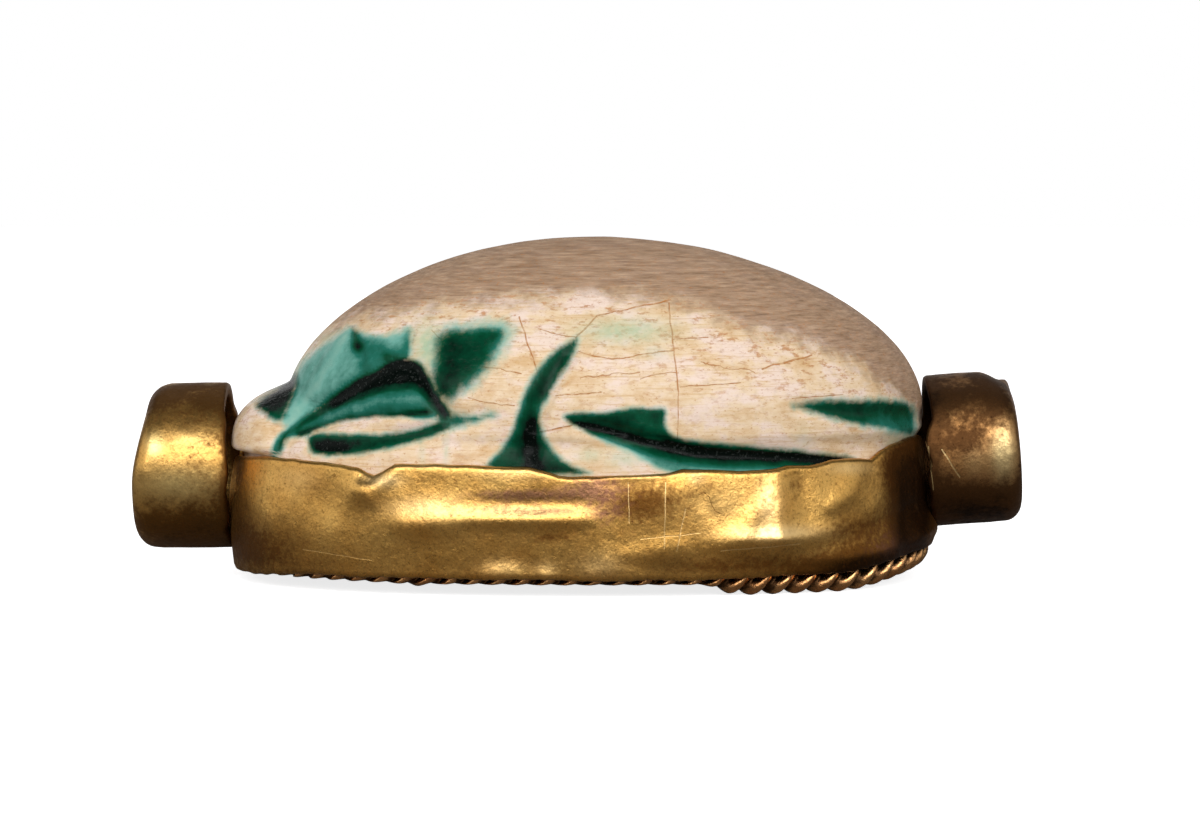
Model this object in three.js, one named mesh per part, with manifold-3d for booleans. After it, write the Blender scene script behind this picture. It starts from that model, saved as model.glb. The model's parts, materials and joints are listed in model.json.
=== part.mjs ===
// Scarab seal in a gold mount: a bored stone beetle with an engraved seal face, a hammered gold band
// round its base, a twisted wire foot, and a gold collar at each end of the bore.
// Millimetres, +Z up. The head is at -X and the tail at +X. The seal stands on its wire foot at z = 0.
import * as THREE from "three";
import { mergeVertices } from "three/addons/utils/BufferGeometryUtils.js";
import Module from "manifold-3d";

const wasm = await Module();
wasm.setup();

// Driving dimensions of the stone
const WIDEST_X = 0.4; // where the beetle is widest, from the origin
const BASE_TO_HEAD = 8.7; // from the widest place to the head end of the base
const BASE_TO_TAIL = 7.95; // from the widest place to the tail end of the base
const BASE_HALF_WIDTH = 5.85;
const BASE_SPRING = 2.9; // height where the base starts to curve in
const BASE_SHOULDER = 3.9; // top of the base, where the body stands on it
const BACK_TO_HEAD = 7.65; // the same three for the back
const BACK_TO_TAIL = 8.2;
const BACK_HALF_WIDTH = 5.85;
const BACK_LEDGE = 3.8; // lower edge of the back, over the legs
const BACK_SPRING = 4.3; // height where the back starts to curve in
const BACK_TOP = 8.5;
const HEAD_X = -6.4; // middle of the head
const HEAD_TO_FRONT = 2.2;
const HEAD_TO_BACK = 4.0;
const HEAD_HALF_WIDTH = 3.5;
const HEAD_SPRING = 3.3;
const HEAD_TOP = 4.85;
const FACE_GAP = 0.05; // the seal face stands this far above the wire foot

// Driving dimensions of the carving
const LEG_CUT_DEPTH = 0.2;
const LEG_CUT_HALF_WIDTH = 0.3;
const WING_LINE_HALF_WIDTH = 0.16;
const WING_LINE_DEPTH = 0.16;
const WING_LINE_LIFT = 0.03; // the cut's middle is this far above the surface
const WING_LINE_START_X = -2.6; // where the line between the wing cases begins
const SHIELD_LINE_NEAR_Y = -0.9; // ends of the line behind the neck shield, worn off the near side
const SHIELD_LINE_FAR_Y = 4.3;
const SHIELD_LINE_BOW = 0.25;
const SEAL_LINE_INSET = 0.9; // border line of the seal face, from its edge
const SEAL_CUT_WIDTH = 0.36;
const SEAL_CUT_DEPTH = 0.25;
const SEAL_EDGE_BEVEL = 0.12;
const SEAL_ROWS = 3;
const SEAL_ROW_PITCH = 2.4;
const SEAL_STROKE_PITCH = 1.8;
const SEAL_STROKE_LENGTH = 1.5;
const SEAL_STROKE_SLANT = 0.5; // radians, to one side and the other by turns

// Driving dimensions of the gold
const BORE_DIAMETER = 1.5;
const BORE_CLEARANCE = 0.15; // the band's end holes are wider than the bore by this, all round
const BAND_WALL = 0.2;
const BAND_FIT = 0.05; // between the stone and the band
const BAND_HEIGHT = 3.1; // upper edge of the band, above the ground
const BAND_LOWER_EDGE = 0.36; // lower edge of the band, outside the foot
const BAND_CROWN = 0.1; // how far the band swells at mid height
const BAND_TAIL_FLARE = 0.16; // how far the band's foot is pushed out at the tail end
const WIRE_DIAMETER = 0.36; // one of the two wires of the foot
const WIRE_WAIST = 0.2; // half the thickness where the two wires meet
const WIRE_HALF_TURNS = 78;
const WIRE_PHASE = Math.PI / 6; // so that each half turn touches the ground
const WIRE_GAP = 0.05; // between the foot and the band
const FOOT_TAIL_SWING = 0.6; // how far the foot is pushed out at the tail end
const COLLAR_WALL = 0.3;
const COLLAR_ROUND = 0.4; // rounding of the outer rim
const COLLAR_HOLE_DIAMETER = 1.4;
const HEAD_COLLAR = { gap: 0.15, z: 2.78, diameter: 4.1, length: 2.4, tilt: 0 }; // gap: to the band
const TAIL_COLLAR = { gap: 0.24, z: 3.12, diameter: 3.8, length: 2.1, tilt: 0.09 };

// Fineness of the faceted surfaces
const STONE_FACETS = 48;
const HEAD_FACETS = 26;
const BAND_FACETS = 72;
const WIRE_STEPS_PER_HALF_TURN = 3;
const COLLAR_FACETS = 26;
const BORE_FACETS = 16;

// Worked out from the above
const WIRE_RADIUS = WIRE_DIAMETER; // of the twisted pair, measured from its middle
const FOOT_HEIGHT = 2 * WIRE_RADIUS;
const BAND_LIFTED_EDGE = FOOT_HEIGHT + 2 * WIRE_GAP; // lower edge where the foot swings out under it
const HEAD_COLLAR_X = WIDEST_X - BASE_TO_HEAD - BAND_FIT - BAND_WALL - HEAD_COLLAR.gap;
const TAIL_COLLAR_X = WIDEST_X + BASE_TO_TAIL + BAND_FIT + BAND_WALL + TAIL_COLLAR.gap;
const SEAL_FACE_Z = FOOT_HEIGHT + FACE_GAP;
const BORE_LONGER = 4; // how far the boring tool runs past both ends

const basePlan = {
  middle: WIDEST_X,
  toHead: BASE_TO_HEAD,
  toTail: BASE_TO_TAIL,
  halfWidth: BASE_HALF_WIDTH,
  power: 2.3,
};
const backPlan = {
  middle: WIDEST_X,
  toHead: BACK_TO_HEAD,
  toTail: BACK_TO_TAIL,
  halfWidth: BACK_HALF_WIDTH,
  power: 2.3,
};
const headPlan = {
  middle: HEAD_X,
  toHead: HEAD_TO_FRONT,
  toTail: HEAD_TO_BACK,
  halfWidth: HEAD_HALF_WIDTH,
  power: 2.6,
};
// Each form stands straight up to its spring and curves in above it. Its foot is undercut a little.
const base = { plan: basePlan, ledge: 0, spring: BASE_SPRING, top: 5.4, power: 2.5 };
const back = { plan: backPlan, ledge: BACK_LEDGE, spring: BACK_SPRING, top: BACK_TOP, power: 1.87 };
const head = { plan: headPlan, ledge: 0, spring: HEAD_SPRING, top: HEAD_TOP, power: 2.4 };
const UNDERCUT_HEIGHT = 0.5;
const UNDERCUT_SHARE = 0.96;

const signedPower = (value, power) => Math.sign(value) * Math.abs(value) ** power;

// Smooth step from 0 at a to 1 at b.
function ease(value, a, b) {
  const t = THREE.MathUtils.clamp((value - a) / (b - a), 0, 1);
  return t * t * (3 - 2 * t);
}

// Height read off a line of [x, height] stations.
function heightAt(stations, x) {
  const next = stations.findIndex((station) => station[0] >= x);
  if (next === 0) return stations[0][1];
  if (next < 0) return stations[stations.length - 1][1];
  const [x0, z0] = stations[next - 1];
  const [x1, z1] = stations[next];
  return z0 + (z1 - z0) * ease(x, x0, x1);
}

// Point of an egg-shaped plan at an angle, moved outwards by an offset.
function planPoint(plan, angle, offset = 0) {
  const c = Math.cos(angle);
  const s = Math.sin(angle);
  const reach = c < 0 ? plan.toHead : plan.toTail;
  const x = reach * signedPower(c, 2 / plan.power);
  const y = plan.halfWidth * signedPower(s, 2 / plan.power);
  const out = new THREE.Vector2(
    signedPower(x / reach, plan.power - 1) / reach,
    signedPower(y / plan.halfWidth, plan.power - 1) / plan.halfWidth,
  ).normalize();
  return new THREE.Vector2(plan.middle + x + out.x * offset, y + out.y * offset);
}

// A lathe shape whose every vertex is carried to its place: place(share of the turn, profile point).
function carried(profile, facets, place) {
  const shape = new THREE.LatheGeometry(profile, facets);
  const { position, uv } = shape.attributes;
  for (let i = 0; i < position.count; i += 1) {
    const turn = (Math.round(uv.getX(i) * facets) % facets) / facets;
    const point = profile[Math.round(uv.getY(i) * (profile.length - 1))];
    position.setXYZ(i, ...place(turn, point));
  }
  return shape;
}

// A closed geometry as a solid, with its faces turned outwards.
function solidOf(geometry) {
  const bare = new THREE.BufferGeometry();
  bare.setAttribute("position", geometry.getAttribute("position"));
  bare.setIndex(geometry.getIndex());
  const merged = mergeVertices(bare, 1e-4);
  const triVerts = new Uint32Array(merged.index.array);
  const make = () =>
    new wasm.Manifold(
      new wasm.Mesh({ numProp: 3, vertProperties: merged.attributes.position.array, triVerts }),
    );
  const solid = make();
  if (solid.volume() > 0) return solid;
  triVerts.reverse();
  return make();
}

function geometryOf(solid) {
  const mesh = solid.getMesh();
  const geometry = new THREE.BufferGeometry();
  geometry.setAttribute("position", new THREE.BufferAttribute(mesh.vertProperties, 3));
  geometry.setIndex(new THREE.BufferAttribute(mesh.triVerts, 1));
  return geometry;
}

// A body on an egg-shaped plan, from a profile of (share of the plan, height).
function bodyOn(plan, profile, facets) {
  return solidOf(
    carried(profile, facets, (turn, point) => {
      const edge = planPoint(plan, turn * 2 * Math.PI);
      const x = plan.middle + (edge.x - plan.middle) * point.x;
      return [x, edge.y * point.x, point.y];
    }),
  );
}

// Share of the plan that a form keeps at a height.
function shareAt(form, z) {
  if (z < form.ledge) {
    return THREE.MathUtils.lerp(1, UNDERCUT_SHARE, Math.min((form.ledge - z) / UNDERCUT_HEIGHT, 1));
  }
  const up = Math.max(z - form.spring, 0) / (form.top - form.spring);
  return up >= 1 ? 0 : (1 - up ** form.power) ** (1 / form.power);
}

// How far a form reaches sideways at x and z.
function sideReach(form, x, z) {
  const share = shareAt(form, z);
  const away = x - form.plan.middle;
  const along = Math.abs(away) / ((away < 0 ? form.plan.toHead : form.plan.toTail) * share);
  if (!(along < 1)) return 0;
  return form.plan.halfWidth * share * (1 - along ** form.plan.power) ** (1 / form.plan.power);
}

function stoneSide(x, z) {
  const low = z < BASE_SHOULDER ? sideReach(base, x, z) : 0;
  return Math.max(low, sideReach(back, x, z), sideReach(head, x, z));
}

// Height of the back above x and y.
function backHeight(x, y) {
  const { plan, spring, top, power } = back;
  const away = Math.abs(x - plan.middle) / (x < plan.middle ? plan.toHead : plan.toTail);
  const wide = Math.abs(y) / plan.halfWidth;
  const out = (away ** plan.power + wide ** plan.power) ** (1 / plan.power);
  return spring + (top - spring) * (1 - Math.min(out, 1) ** power) ** (1 / power);
}

// A stroke cut along a path of surface points: a spindle bent onto the path, thin at both ends.
function stroke(points, outward, halfWidth, depth) {
  const path = new THREE.CatmullRomCurve3(points, false, "centripetal");
  const rings = points.length + 4;
  const profile = [new THREE.Vector2(0, 0)];
  for (let i = 1; i < rings; i += 1) {
    const along = i / rings;
    profile.push(new THREE.Vector2(Math.sin(Math.PI * along) ** 0.6, along));
  }
  profile.push(new THREE.Vector2(0, 1));
  return solidOf(
    carried(profile, 6, (turn, point) => {
      const at = path.getPointAt(point.y);
      const tangent = path.getTangentAt(point.y);
      const out = outward(at);
      const across = new THREE.Vector3().crossVectors(tangent, out).normalize();
      const angle = turn * 2 * Math.PI;
      at.addScaledVector(across, halfWidth * point.x * Math.cos(angle));
      at.addScaledVector(out, depth * point.x * Math.sin(angle));
      return at.toArray();
    }),
  );
}

// Outward direction of the stone's flank near a point.
function flankOutward(at) {
  const step = 0.15;
  const across = (stoneSide(at.x + step, at.z) - stoneSide(at.x - step, at.z)) / (2 * step);
  const up = (stoneSide(at.x, at.z + step) - stoneSide(at.x, at.z - step)) / (2 * step);
  return new THREE.Vector3(-across, Math.sign(at.y), -up).normalize();
}

// The carved lines of one flank, each with its share of the cut's width. A station is a share of the
// length from the widest place, below 0 towards the head, and a share of the height.
const FLANK_LINES = [
  // outline of the folded foreleg and of the neck shield above it
  {
    width: 0.9,
    at: [[-0.85, 0.45], [-0.68, 0.57], [-0.54, 0.63], [-0.46, 0.635], [-0.42, 0.55], [-0.33, 0.505]],
  },
  // lower edge of the foreleg
  { width: 1.0, at: [[-0.82, 0.42], [-0.64, 0.435], [-0.48, 0.465], [-0.36, 0.49]] },
  // back edge of the head
  { width: 0.6, at: [[-0.89, 0.38], [-0.875, 0.425], [-0.84, 0.47]] },
  // middle leg
  { width: 1.2, at: [[-0.045, 0.705], [-0.105, 0.61], [-0.15, 0.52], [-0.165, 0.45], [-0.17, 0.365]] },
  // hind leg
  { width: 1.1, at: [[-0.085, 0.495], [0.13, 0.455], [0.43, 0.405], [0.68, 0.4], [0.83, 0.41]] },
  // edge of the wing case at the tail
  { width: 0.8, at: [[0.575, 0.555], [0.755, 0.525], [0.92, 0.51]] },
];

function flankCuts(side) {
  return FLANK_LINES.map(({ width, at }) => {
    const points = at.map(([along, up]) => {
      const x = WIDEST_X + along * (along < 0 ? BASE_TO_HEAD : BACK_TO_TAIL);
      const z = up * BACK_TOP;
      return new THREE.Vector3(x, side * stoneSide(x, z), z);
    });
    return stroke(points, flankOutward, LEG_CUT_HALF_WIDTH * width, LEG_CUT_DEPTH * width);
  });
}

// The shallow lines across the top: one between the wing cases and one behind the neck shield.
function backCuts() {
  const upward = () => new THREE.Vector3(0, 0, 1);
  const onBack = (x, y) => new THREE.Vector3(x, y, backHeight(x, y) + WING_LINE_LIFT);
  const seam = [];
  const seamEnd = WIDEST_X + BACK_TO_TAIL * 0.88;
  for (let i = 0; i <= 7; i += 1) {
    seam.push(onBack(THREE.MathUtils.lerp(WING_LINE_START_X, seamEnd, i / 7), 0));
  }
  const shield = [];
  for (let i = 0; i <= 4; i += 1) {
    const y = THREE.MathUtils.lerp(SHIELD_LINE_NEAR_Y, SHIELD_LINE_FAR_Y, i / 4);
    shield.push(onBack(WING_LINE_START_X - SHIELD_LINE_BOW * (y / SHIELD_LINE_FAR_Y) ** 2, y));
  }
  return [seam, shield].map((points) => stroke(points, upward, WING_LINE_HALF_WIDTH, WING_LINE_DEPTH));
}

// The seal face: a border line round it, and rows of short slanted strokes inside.
function sealCuts() {
  const inner = -SEAL_LINE_INSET - SEAL_CUT_WIDTH;
  const section = [
    new THREE.Vector2(-SEAL_LINE_INSET, -SEAL_CUT_DEPTH),
    new THREE.Vector2(-SEAL_LINE_INSET - SEAL_CUT_WIDTH / 2, SEAL_CUT_DEPTH),
    new THREE.Vector2(inner, -SEAL_CUT_DEPTH),
    new THREE.Vector2(-SEAL_LINE_INSET, -SEAL_CUT_DEPTH),
  ];
  const border = solidOf(
    carried(section, STONE_FACETS, (turn, point) => {
      const at = planPoint(basePlan, turn * 2 * Math.PI, point.x);
      return [at.x, at.y, SEAL_FACE_Z + point.y];
    }),
  );
  const cuts = [border];
  for (let row = 0; row < SEAL_ROWS; row += 1) {
    const y = (row - (SEAL_ROWS - 1) / 2) * SEAL_ROW_PITCH;
    const room = 1 - ((Math.abs(y) + SEAL_STROKE_LENGTH / 2) / (BASE_HALF_WIDTH + inner)) ** 2;
    const reach = (BASE_TO_TAIL + inner) * Math.sqrt(Math.max(room, 0)) - SEAL_CUT_WIDTH;
    const count = Math.max(Math.floor(reach / SEAL_STROKE_PITCH), 0);
    for (let i = -count; i <= count; i += 1) {
      const mark = new THREE.CylinderGeometry(
        SEAL_CUT_WIDTH / 2, SEAL_CUT_WIDTH / 2, SEAL_STROKE_LENGTH, 4,
      );
      mark.scale(1, 1, (2 * SEAL_CUT_DEPTH) / SEAL_CUT_WIDTH);
      mark.rotateZ((i + row) % 2 === 0 ? SEAL_STROKE_SLANT : -SEAL_STROKE_SLANT);
      mark.translate(WIDEST_X + i * SEAL_STROKE_PITCH, y, SEAL_FACE_Z);
      cuts.push(solidOf(mark));
    }
  }
  return cuts;
}

// The straight line from collar to collar, as a round rod.
function boreRod(diameter) {
  const start = new THREE.Vector3(HEAD_COLLAR_X, 0, HEAD_COLLAR.z);
  const end = new THREE.Vector3(TAIL_COLLAR_X, 0, TAIL_COLLAR.z);
  const along = end.clone().sub(start);
  const rod = new THREE.CylinderGeometry(
    diameter / 2, diameter / 2, along.length() + 2 * BORE_LONGER, BORE_FACETS,
  );
  const turn = new THREE.Quaternion().setFromUnitVectors(
    new THREE.Vector3(0, 1, 0), along.normalize(),
  );
  rod.applyQuaternion(turn);
  rod.translate(...start.add(end).multiplyScalar(0.5).toArray());
  return solidOf(rod);
}

// Profile of a domed form from its underside up to its top.
function domeProfile(form, lower, steps) {
  const profile = [...lower, new THREE.Vector2(1, form.spring)];
  for (let i = 1; i < steps; i += 1) {
    const t = (i / steps) * (Math.PI / 2);
    profile.push(
      new THREE.Vector2(
        Math.cos(t) ** (2 / form.power),
        form.spring + (form.top - form.spring) * Math.sin(t) ** (2 / form.power),
      ),
    );
  }
  profile.push(new THREE.Vector2(0, form.top));
  return profile;
}

function stone() {
  const middleHeight = (BASE_SPRING + BASE_SHOULDER) / 2;
  const plate = bodyOn(
    basePlan,
    [
      new THREE.Vector2(0, SEAL_FACE_Z),
      new THREE.Vector2(1 - SEAL_EDGE_BEVEL / BASE_HALF_WIDTH, SEAL_FACE_Z),
      new THREE.Vector2(1, SEAL_FACE_Z + SEAL_EDGE_BEVEL),
      new THREE.Vector2(1, BASE_SPRING),
      new THREE.Vector2(shareAt(base, middleHeight), middleHeight),
      new THREE.Vector2(shareAt(base, BASE_SHOULDER), BASE_SHOULDER),
      new THREE.Vector2(0, BASE_SHOULDER),
    ],
    STONE_FACETS,
  );
  const backFoot = [
    new THREE.Vector2(0, BACK_LEDGE - UNDERCUT_HEIGHT),
    new THREE.Vector2(UNDERCUT_SHARE, BACK_LEDGE - UNDERCUT_HEIGHT),
    new THREE.Vector2(1, BACK_LEDGE),
  ];
  const headFoot = [
    new THREE.Vector2(0, HEAD_SPRING - 0.05),
    new THREE.Vector2(UNDERCUT_SHARE, HEAD_SPRING - 0.05),
  ];
  const cuts = [
    ...flankCuts(-1),
    ...flankCuts(1),
    ...backCuts(),
    ...sealCuts(),
    boreRod(BORE_DIAMETER),
  ];
  return plate
    .add(bodyOn(backPlan, domeProfile(back, backFoot, 9), STONE_FACETS))
    .add(bodyOn(headPlan, domeProfile(head, headFoot, 6), HEAD_FACETS))
    .subtract(wasm.Manifold.union(cuts));
}

// Edges of the hammered band, as [share of the base's length from its widest place, height]. Its upper
// edge is a share of the band's height.
const BAND_TOP_NEAR = [
  [-0.98, 1.02], [-0.79, 1], [-0.655, 0.97], [-0.6, 0.93], [-0.54, 1.005], [-0.355, 1.01], [-0.17, 1],
  [-0.09, 0.93], [0.04, 0.93], [0.23, 0.955], [0.54, 0.97], [0.77, 1.02], [0.855, 1.025], [0.99, 1.16],
];
const BAND_TOP_FAR = [[-0.97, 1.02], [-0.5, 0.97], [-0.05, 1], [0.45, 0.96], [0.99, 1.16]];
const BAND_BOTTOM = [
  [-0.98, BAND_LOWER_EDGE * 0.6], [-0.3, BAND_LOWER_EDGE], [0.2, BAND_LOWER_EDGE],
  [0.5, BAND_LIFTED_EDGE], [0.8, BAND_LIFTED_EDGE], [1, BAND_LIFTED_EDGE * 1.2],
];
const SWING_START = 0.5; // share of the base's length past which the foot swings out

const alongBase = (x) => (x - WIDEST_X) / (x < WIDEST_X ? BASE_TO_HEAD : BASE_TO_TAIL);
const tailShare = (x) => ease(alongBase(x), SWING_START, 1);

function bandTop(x, y) {
  return BAND_HEIGHT * heightAt(y < 0 ? BAND_TOP_NEAR : BAND_TOP_FAR, alongBase(x));
}

function band() {
  const inside = BAND_FIT;
  const outside = BAND_FIT + BAND_WALL;
  const middle = (inside + outside) / 2;
  const section = [
    new THREE.Vector2(inside, 0),
    new THREE.Vector2(outside, 0),
    new THREE.Vector2(outside, 0.3),
    new THREE.Vector2(outside, 0.62),
    new THREE.Vector2(outside, 0.93),
    new THREE.Vector2(middle, 1),
    new THREE.Vector2(inside, 0.93),
    new THREE.Vector2(inside, 0.45),
    new THREE.Vector2(inside, 0),
  ];
  const ring = carried(section, BAND_FACETS, (turn, point) => {
    const angle = turn * 2 * Math.PI;
    const edge = planPoint(basePlan, angle, outside);
    const low = heightAt(BAND_BOTTOM, alongBase(edge.x));
    const z = THREE.MathUtils.lerp(low, bandTop(edge.x, edge.y), point.y);
    const flare = BAND_TAIL_FLARE * tailShare(edge.x) * (1 - point.y) ** 2;
    const crown = BAND_CROWN * Math.sin(Math.PI * point.y) * (point.x > middle ? 1 : 0);
    const at = planPoint(basePlan, angle, point.x + flare + crown);
    return [at.x, at.y, z];
  });
  return solidOf(ring).subtract(boreRod(BORE_DIAMETER + 2 * BORE_CLEARANCE));
}

// The foot: a six-sided section, long across the two wires, that turns as it goes round.
function wireFoot() {
  const path = new THREE.CatmullRomCurve3([], true);
  const stations = 80;
  for (let i = 0; i < stations; i += 1) {
    const angle = (i / stations) * 2 * Math.PI;
    const x = planPoint(basePlan, angle).x;
    const offset = FOOT_TAIL_SWING * tailShare(x) + BAND_FIT - WIRE_GAP - WIRE_RADIUS;
    const at = planPoint(basePlan, angle, offset);
    path.points.push(new THREE.Vector3(at.x, at.y, WIRE_RADIUS));
  }
  path.arcLengthDivisions = 800;
  const section = [];
  for (let i = 0; i <= 6; i += 1) {
    const angle = (i / 6) * 2 * Math.PI;
    const radius = i % 3 === 0 ? WIRE_RADIUS : WIRE_WAIST;
    section.push(new THREE.Vector2(radius * Math.cos(angle), radius * Math.sin(angle)));
  }
  const steps = WIRE_HALF_TURNS * WIRE_STEPS_PER_HALF_TURN;
  const up = new THREE.Vector3(0, 0, 1);
  const twisted = carried(section, steps, (turn, point) => {
    const at = path.getPointAt(turn);
    const out = new THREE.Vector3().crossVectors(path.getTangentAt(turn), up).normalize();
    const twist = WIRE_PHASE + turn * WIRE_HALF_TURNS * Math.PI;
    const turned = point.clone().rotateAround(new THREE.Vector2(), twist);
    at.addScaledVector(out, turned.x);
    at.addScaledVector(up, turned.y);
    return at.toArray();
  });
  return solidOf(twisted);
}

// A collar: a cup with a rounded rim and a hole through its outer end. Its open side faces the stone.
function collar(size, outwardX) {
  const radius = size.diameter / 2;
  const hole = COLLAR_HOLE_DIAMETER / 2;
  const profile = [
    new THREE.Vector2(radius - COLLAR_WALL, 0),
    new THREE.Vector2(radius, 0),
  ];
  const corner = 4;
  for (let i = 0; i <= corner; i += 1) {
    const t = (i / corner) * (Math.PI / 2);
    profile.push(
      new THREE.Vector2(
        radius - COLLAR_ROUND * (1 - Math.cos(t)),
        size.length - COLLAR_ROUND * (1 - Math.sin(t)),
      ),
    );
  }
  profile.push(
    new THREE.Vector2(hole, size.length),
    new THREE.Vector2(hole, size.length - COLLAR_WALL),
    new THREE.Vector2(radius - COLLAR_WALL, size.length - COLLAR_WALL),
    new THREE.Vector2(radius - COLLAR_WALL, 0),
  );
  const cup = new THREE.LatheGeometry(profile, COLLAR_FACETS);
  cup.rotateZ(-outwardX * (Math.PI / 2));
  return solidOf(cup);
}

const gold = (name, color, roughness) =>
  new THREE.MeshStandardMaterial({ name, color, roughness, metalness: 1 });

const group = new THREE.Group();

function place(name, solid, material) {
  const mesh = new THREE.Mesh(geometryOf(solid), material);
  mesh.name = name;
  group.add(mesh);
  return mesh;
}

place(
  "scarab_stone",
  stone(),
  new THREE.MeshStandardMaterial({ name: "glazed_stone", color: 0xd8c4ac, roughness: 0.3, metalness: 0 }),
);
place("gold_band", band(), gold("band_gold", 0xb8903c, 0.3));
place("twisted_wire_foot", wireFoot(), gold("wire_gold", 0x8a6030, 0.35));
const headCollar = place("collar_head_end", collar(HEAD_COLLAR, -1), gold("collar_gold", 0xa88038, 0.3));
headCollar.position.set(HEAD_COLLAR_X, 0, HEAD_COLLAR.z);
headCollar.rotation.y = -HEAD_COLLAR.tilt;
const tailCollar = place("collar_tail_end", collar(TAIL_COLLAR, 1), gold("worn_collar_gold", 0x80582e, 0.35));
tailCollar.position.set(TAIL_COLLAR_X, 0, TAIL_COLLAR.z);
tailCollar.rotation.y = -TAIL_COLLAR.tilt;

export default group;
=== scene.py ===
"""A carved and glazed scarab seal in an old gold mount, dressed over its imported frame.

The stone beetle lies with its head at -X and its tail at +X. A hammered gold band holds its base, a
twisted wire runs under the band as a foot, and a gold collar stands at each end of the bore. Shapes are
worked out in millimetres and written to the meshes in metres.
"""

import itertools
import json
import logging
import math
from collections.abc import Sequence
from dataclasses import dataclass, field
from enum import Enum

import bmesh
import bpy
import numpy as np
from mathutils import Matrix, Vector

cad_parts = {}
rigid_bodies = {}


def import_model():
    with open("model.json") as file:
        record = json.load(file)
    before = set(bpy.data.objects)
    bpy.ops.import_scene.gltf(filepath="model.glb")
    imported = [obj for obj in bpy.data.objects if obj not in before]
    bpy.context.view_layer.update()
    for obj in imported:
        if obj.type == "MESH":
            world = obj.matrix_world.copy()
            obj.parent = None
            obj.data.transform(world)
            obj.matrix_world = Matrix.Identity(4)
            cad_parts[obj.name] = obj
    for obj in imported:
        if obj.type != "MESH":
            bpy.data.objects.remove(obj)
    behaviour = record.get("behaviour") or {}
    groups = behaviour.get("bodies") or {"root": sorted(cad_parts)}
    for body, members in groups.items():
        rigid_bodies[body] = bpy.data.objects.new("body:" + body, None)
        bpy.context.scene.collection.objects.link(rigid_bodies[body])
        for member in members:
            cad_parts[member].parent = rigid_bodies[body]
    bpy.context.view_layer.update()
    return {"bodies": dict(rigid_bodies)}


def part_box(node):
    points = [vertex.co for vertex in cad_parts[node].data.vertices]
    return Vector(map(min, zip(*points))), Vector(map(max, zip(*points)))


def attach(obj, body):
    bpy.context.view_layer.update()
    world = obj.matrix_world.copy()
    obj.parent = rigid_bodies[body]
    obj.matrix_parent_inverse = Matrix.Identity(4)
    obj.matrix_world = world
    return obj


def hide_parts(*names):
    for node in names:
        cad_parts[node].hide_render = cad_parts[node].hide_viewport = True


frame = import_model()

LOG = logging.getLogger("scarab_seal")
Array = np.ndarray
Stations = tuple[tuple[float, float], ...]
Colour = tuple[float, float, float, float]
Lines = tuple[tuple[tuple[float, float], tuple[float, float], float], ...]

MM = 0.001
BODY = next(iter(frame["bodies"]))


def paint(red: int, green: int, blue: int) -> Colour:
    """Turns a screen colour of 0 to 255 into a linear one.

    Args:
        red: Red of the screen colour.
        green: Green of the screen colour.
        blue: Blue of the screen colour.

    Returns:
        The linear colour, with an alpha of 1.
    """
    shares = (value / 255 for value in (red, green, blue))
    linear = [s / 12.92 if s <= 0.04045 else ((s + 0.055) / 1.055) ** 2.4 for s in shares]
    return (linear[0], linear[1], linear[2], 1.0)


def ease(value: Array | float, low: float, high: float) -> Array:
    """Returns a smooth step from 0 at low to 1 at high."""
    share = np.clip((np.asarray(value, float) - low) / (high - low), 0.0, 1.0)
    return share * share * (3.0 - 2.0 * share)


def bell(distance: Array, width: float) -> Array:
    """Returns 1 at no distance, falling off smoothly over the width."""
    return np.exp(-((distance / width) ** 2))


def rough_field(points: Array, grain: float, seed: int) -> Array:
    """Gives smooth random values, the same on every run.

    Args:
        points: Points in millimetres, one a row.
        grain: Size of one swell, in millimetres.
        seed: Which field, so that two fields differ.

    Returns:
        A value from -1 to 1 for each point.
    """
    scaled = points / grain + seed * 7.31
    cell = np.floor(scaled).astype(np.int64)
    within = scaled - cell
    within = within * within * (3 - 2 * within)
    total = np.zeros(len(points))
    for corner in itertools.product((0, 1), repeat=3):
        at = cell + np.array(corner)
        mixed = (at[:, 0] * 73856093) ^ (at[:, 1] * 19349663) ^ (at[:, 2] * 83492791) ^ (seed * 97531)
        mixed = ((mixed ^ (mixed >> 13)) * 1274126177) & 0x7FFFFFFF
        mixed = ((mixed ^ (mixed >> 15)) * 668265263) & 0x7FFFFFFF
        share = np.prod(np.where(np.array(corner), within, 1 - within), axis=1)
        total += share * (mixed / 0x3FFFFFFF - 1.0)
    return total


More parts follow.
